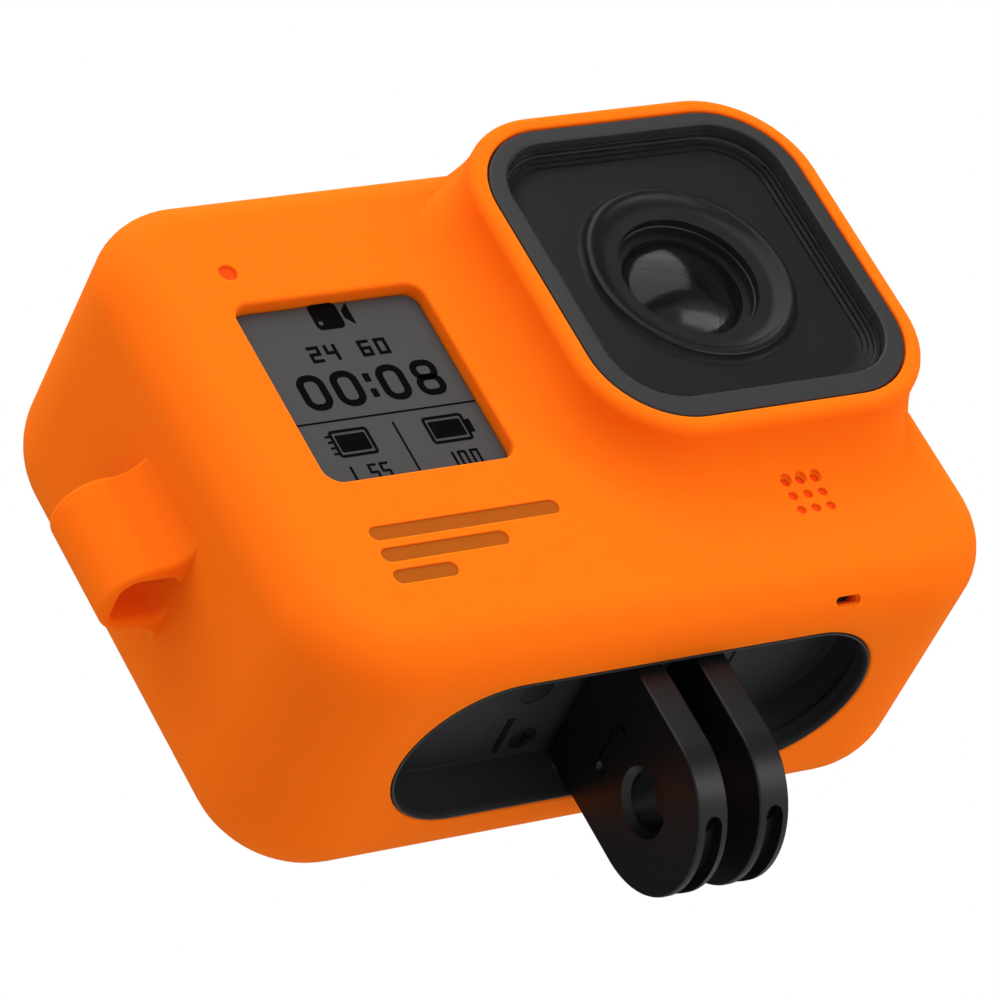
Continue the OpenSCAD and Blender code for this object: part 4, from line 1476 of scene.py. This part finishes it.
class Carried:
    """The CAD pieces that stay as they are."""

    CHANGED: ClassVar[dict[str, Finish]] = {
        "tray_magnets": Finishes.DARK_STEEL, "mount_tray_screws": Finishes.DARK_STEEL}

    def dress(self) -> None:
        """Gives every CAD piece the finish of its slot."""
        finishes = Finishes.by_slot()
        slots = {part["node"]: part["material_slot"] for part in frame["record"]["subparts"]}
        for name, node in frame["nodes"].items():
            finish = self.CHANGED.get(name) or finishes[slots[name]]
            if not node.material_slots:
                node.data.materials.append(finish.material())
            for held in node.material_slots:
                held.material = finish.material()
            logger.info("%s: %s", name, finish.name)


# ---------- the studio ----------


@dataclass
class Studio:
    """The floor, the soft light and the camera."""

    floor_z: float = -0.9
    backdrop: float = 1.0
    fill: float = 0.78
    gloss: float = 0.12
    key_power: float = 11.0
    key_size: float = 1.3
    key_distance: float = 0.9
    key_way: Vector = Vector((-0.08, -0.66, 0.75))
    strip_power: float = 2.0
    strip_size: Point = (0.9, 0.22)
    strip_distance: float = 0.7
    strip_way: Vector = Vector((0.54, -0.74, -0.40))
    aim: Vector = Vector((0.0, 0.0, 0.03))
    focal_length: float = 221.4
    sensor_width: float = 36.0
    camera_at: Vector = Vector((-0.287987, -0.358815, -0.226368))
    camera_right: Triple = (0.82970, -0.34599, -0.43805)
    camera_up: Triple = (0.12806, -0.64584, 0.75265)
    camera_back: Triple = (-0.54332, -0.68057, -0.49155)

    def floor(self) -> None:
        """Lays the floor."""
        shape = Shape(Facing.LEVEL)
        bmesh.ops.create_grid(shape.bm, x_segments=1, y_segments=1, size=12.0)
        shape.turn(Matrix.Translation((0.0, 0.0, self.floor_z)))
        mesh = bpy.data.meshes.new("studio_floor")
        shape.bm.to_mesh(mesh)
        mesh.materials.append(Finishes.FLOOR.material())
        made = bpy.data.objects.new("studio_floor", mesh)
        bpy.context.scene.collection.objects.link(made)
        made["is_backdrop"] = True

    def world(self) -> None:
        """Lights the room evenly, with a white backdrop."""
        world = bpy.data.worlds.new("studio")
        bpy.context.scene.world = world
        world.use_nodes = True
        tree = world.node_tree
        tree.nodes.clear()
        path = tree.nodes.new("ShaderNodeLightPath")
        levels = []
        for level in (self.fill, self.gloss, self.backdrop):
            node = tree.nodes.new("ShaderNodeBackground")
            node.inputs["Color"].default_value = (1.0, 1.0, 1.0, 1.0)
            node.inputs["Strength"].default_value = level
            levels.append(node)
        shaped = tree.nodes.new("ShaderNodeMixShader")
        seen = tree.nodes.new("ShaderNodeMixShader")
        output = tree.nodes.new("ShaderNodeOutputWorld")
        for source, target in (
                (path.outputs["Is Glossy Ray"], shaped.inputs[0]),
                (levels[0].outputs[0], shaped.inputs[1]), (levels[1].outputs[0], shaped.inputs[2]),
                (path.outputs["Is Camera Ray"], seen.inputs[0]),
                (shaped.outputs[0], seen.inputs[1]), (levels[2].outputs[0], seen.inputs[2]),
                (seen.outputs[0], output.inputs["Surface"])):
            tree.links.new(source, target)

    def softbox(self, name: str, way: Vector, distance: float, size: Point, power: float) -> None:
        """Hangs a softbox.

        Args:
            name: The light's name.
            way: The direction from the object to the light.
            distance: The distance, in metres.
            size: Its width and height, in metres.
            power: The power, in watts.
        """
        light = bpy.data.lights.new(name, "AREA")
        light.shape = "RECTANGLE"
        light.size, light.size_y = size
        light.energy = power
        made = bpy.data.objects.new(name, light)
        way = way.normalized()
        made.location = self.aim + way * distance
        made.rotation_euler = way.to_track_quat("Z", "Y").to_euler()
        logger.info("%s: %.2f by %.2f m", name, *size)
        bpy.context.scene.collection.objects.link(made)

    def camera(self) -> None:
        """Sets the camera in front, to the left and below."""
        lens = bpy.data.cameras.new("view")
        lens.lens = self.focal_length
        lens.sensor_width = self.sensor_width
        lens.clip_start = 0.01
        lens.clip_end = 50.0
        made = bpy.data.objects.new("view", lens)
        axes = Matrix((self.camera_right, self.camera_up, self.camera_back)).transposed()
        made.matrix_world = Matrix.Translation(self.camera_at) @ axes.to_4x4()
        bpy.context.scene.collection.objects.link(made)
        bpy.context.scene.camera = made

    def build(self) -> None:
        """Sets up the studio."""
        bpy.context.scene.view_settings.view_transform = "Standard"
        self.floor()
        self.world()
        self.softbox("key", self.key_way, self.key_distance, (self.key_size, self.key_size),
                     self.key_power)
        self.softbox("low_strip", self.strip_way, self.strip_distance, self.strip_size,
                     self.strip_power)
        self.camera()


def main() -> None:
    """Builds everything in order, and works out the two sizes."""
    Studio().build()
    Sleeve().build()
    StatusDisplay().build()
    Lens().build()
    MountTray().build()
    for side in (-1, 1):
        Finger(side).build()
    Buttons().build()
    Back().build()
    Carried().dress()
    boxes = {name: [[float(value) for value in corner] for corner in box]
             for name, box in (("cad", CAD_BOX), ("visual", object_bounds()))}


if __name__ == "__main__":
    main()
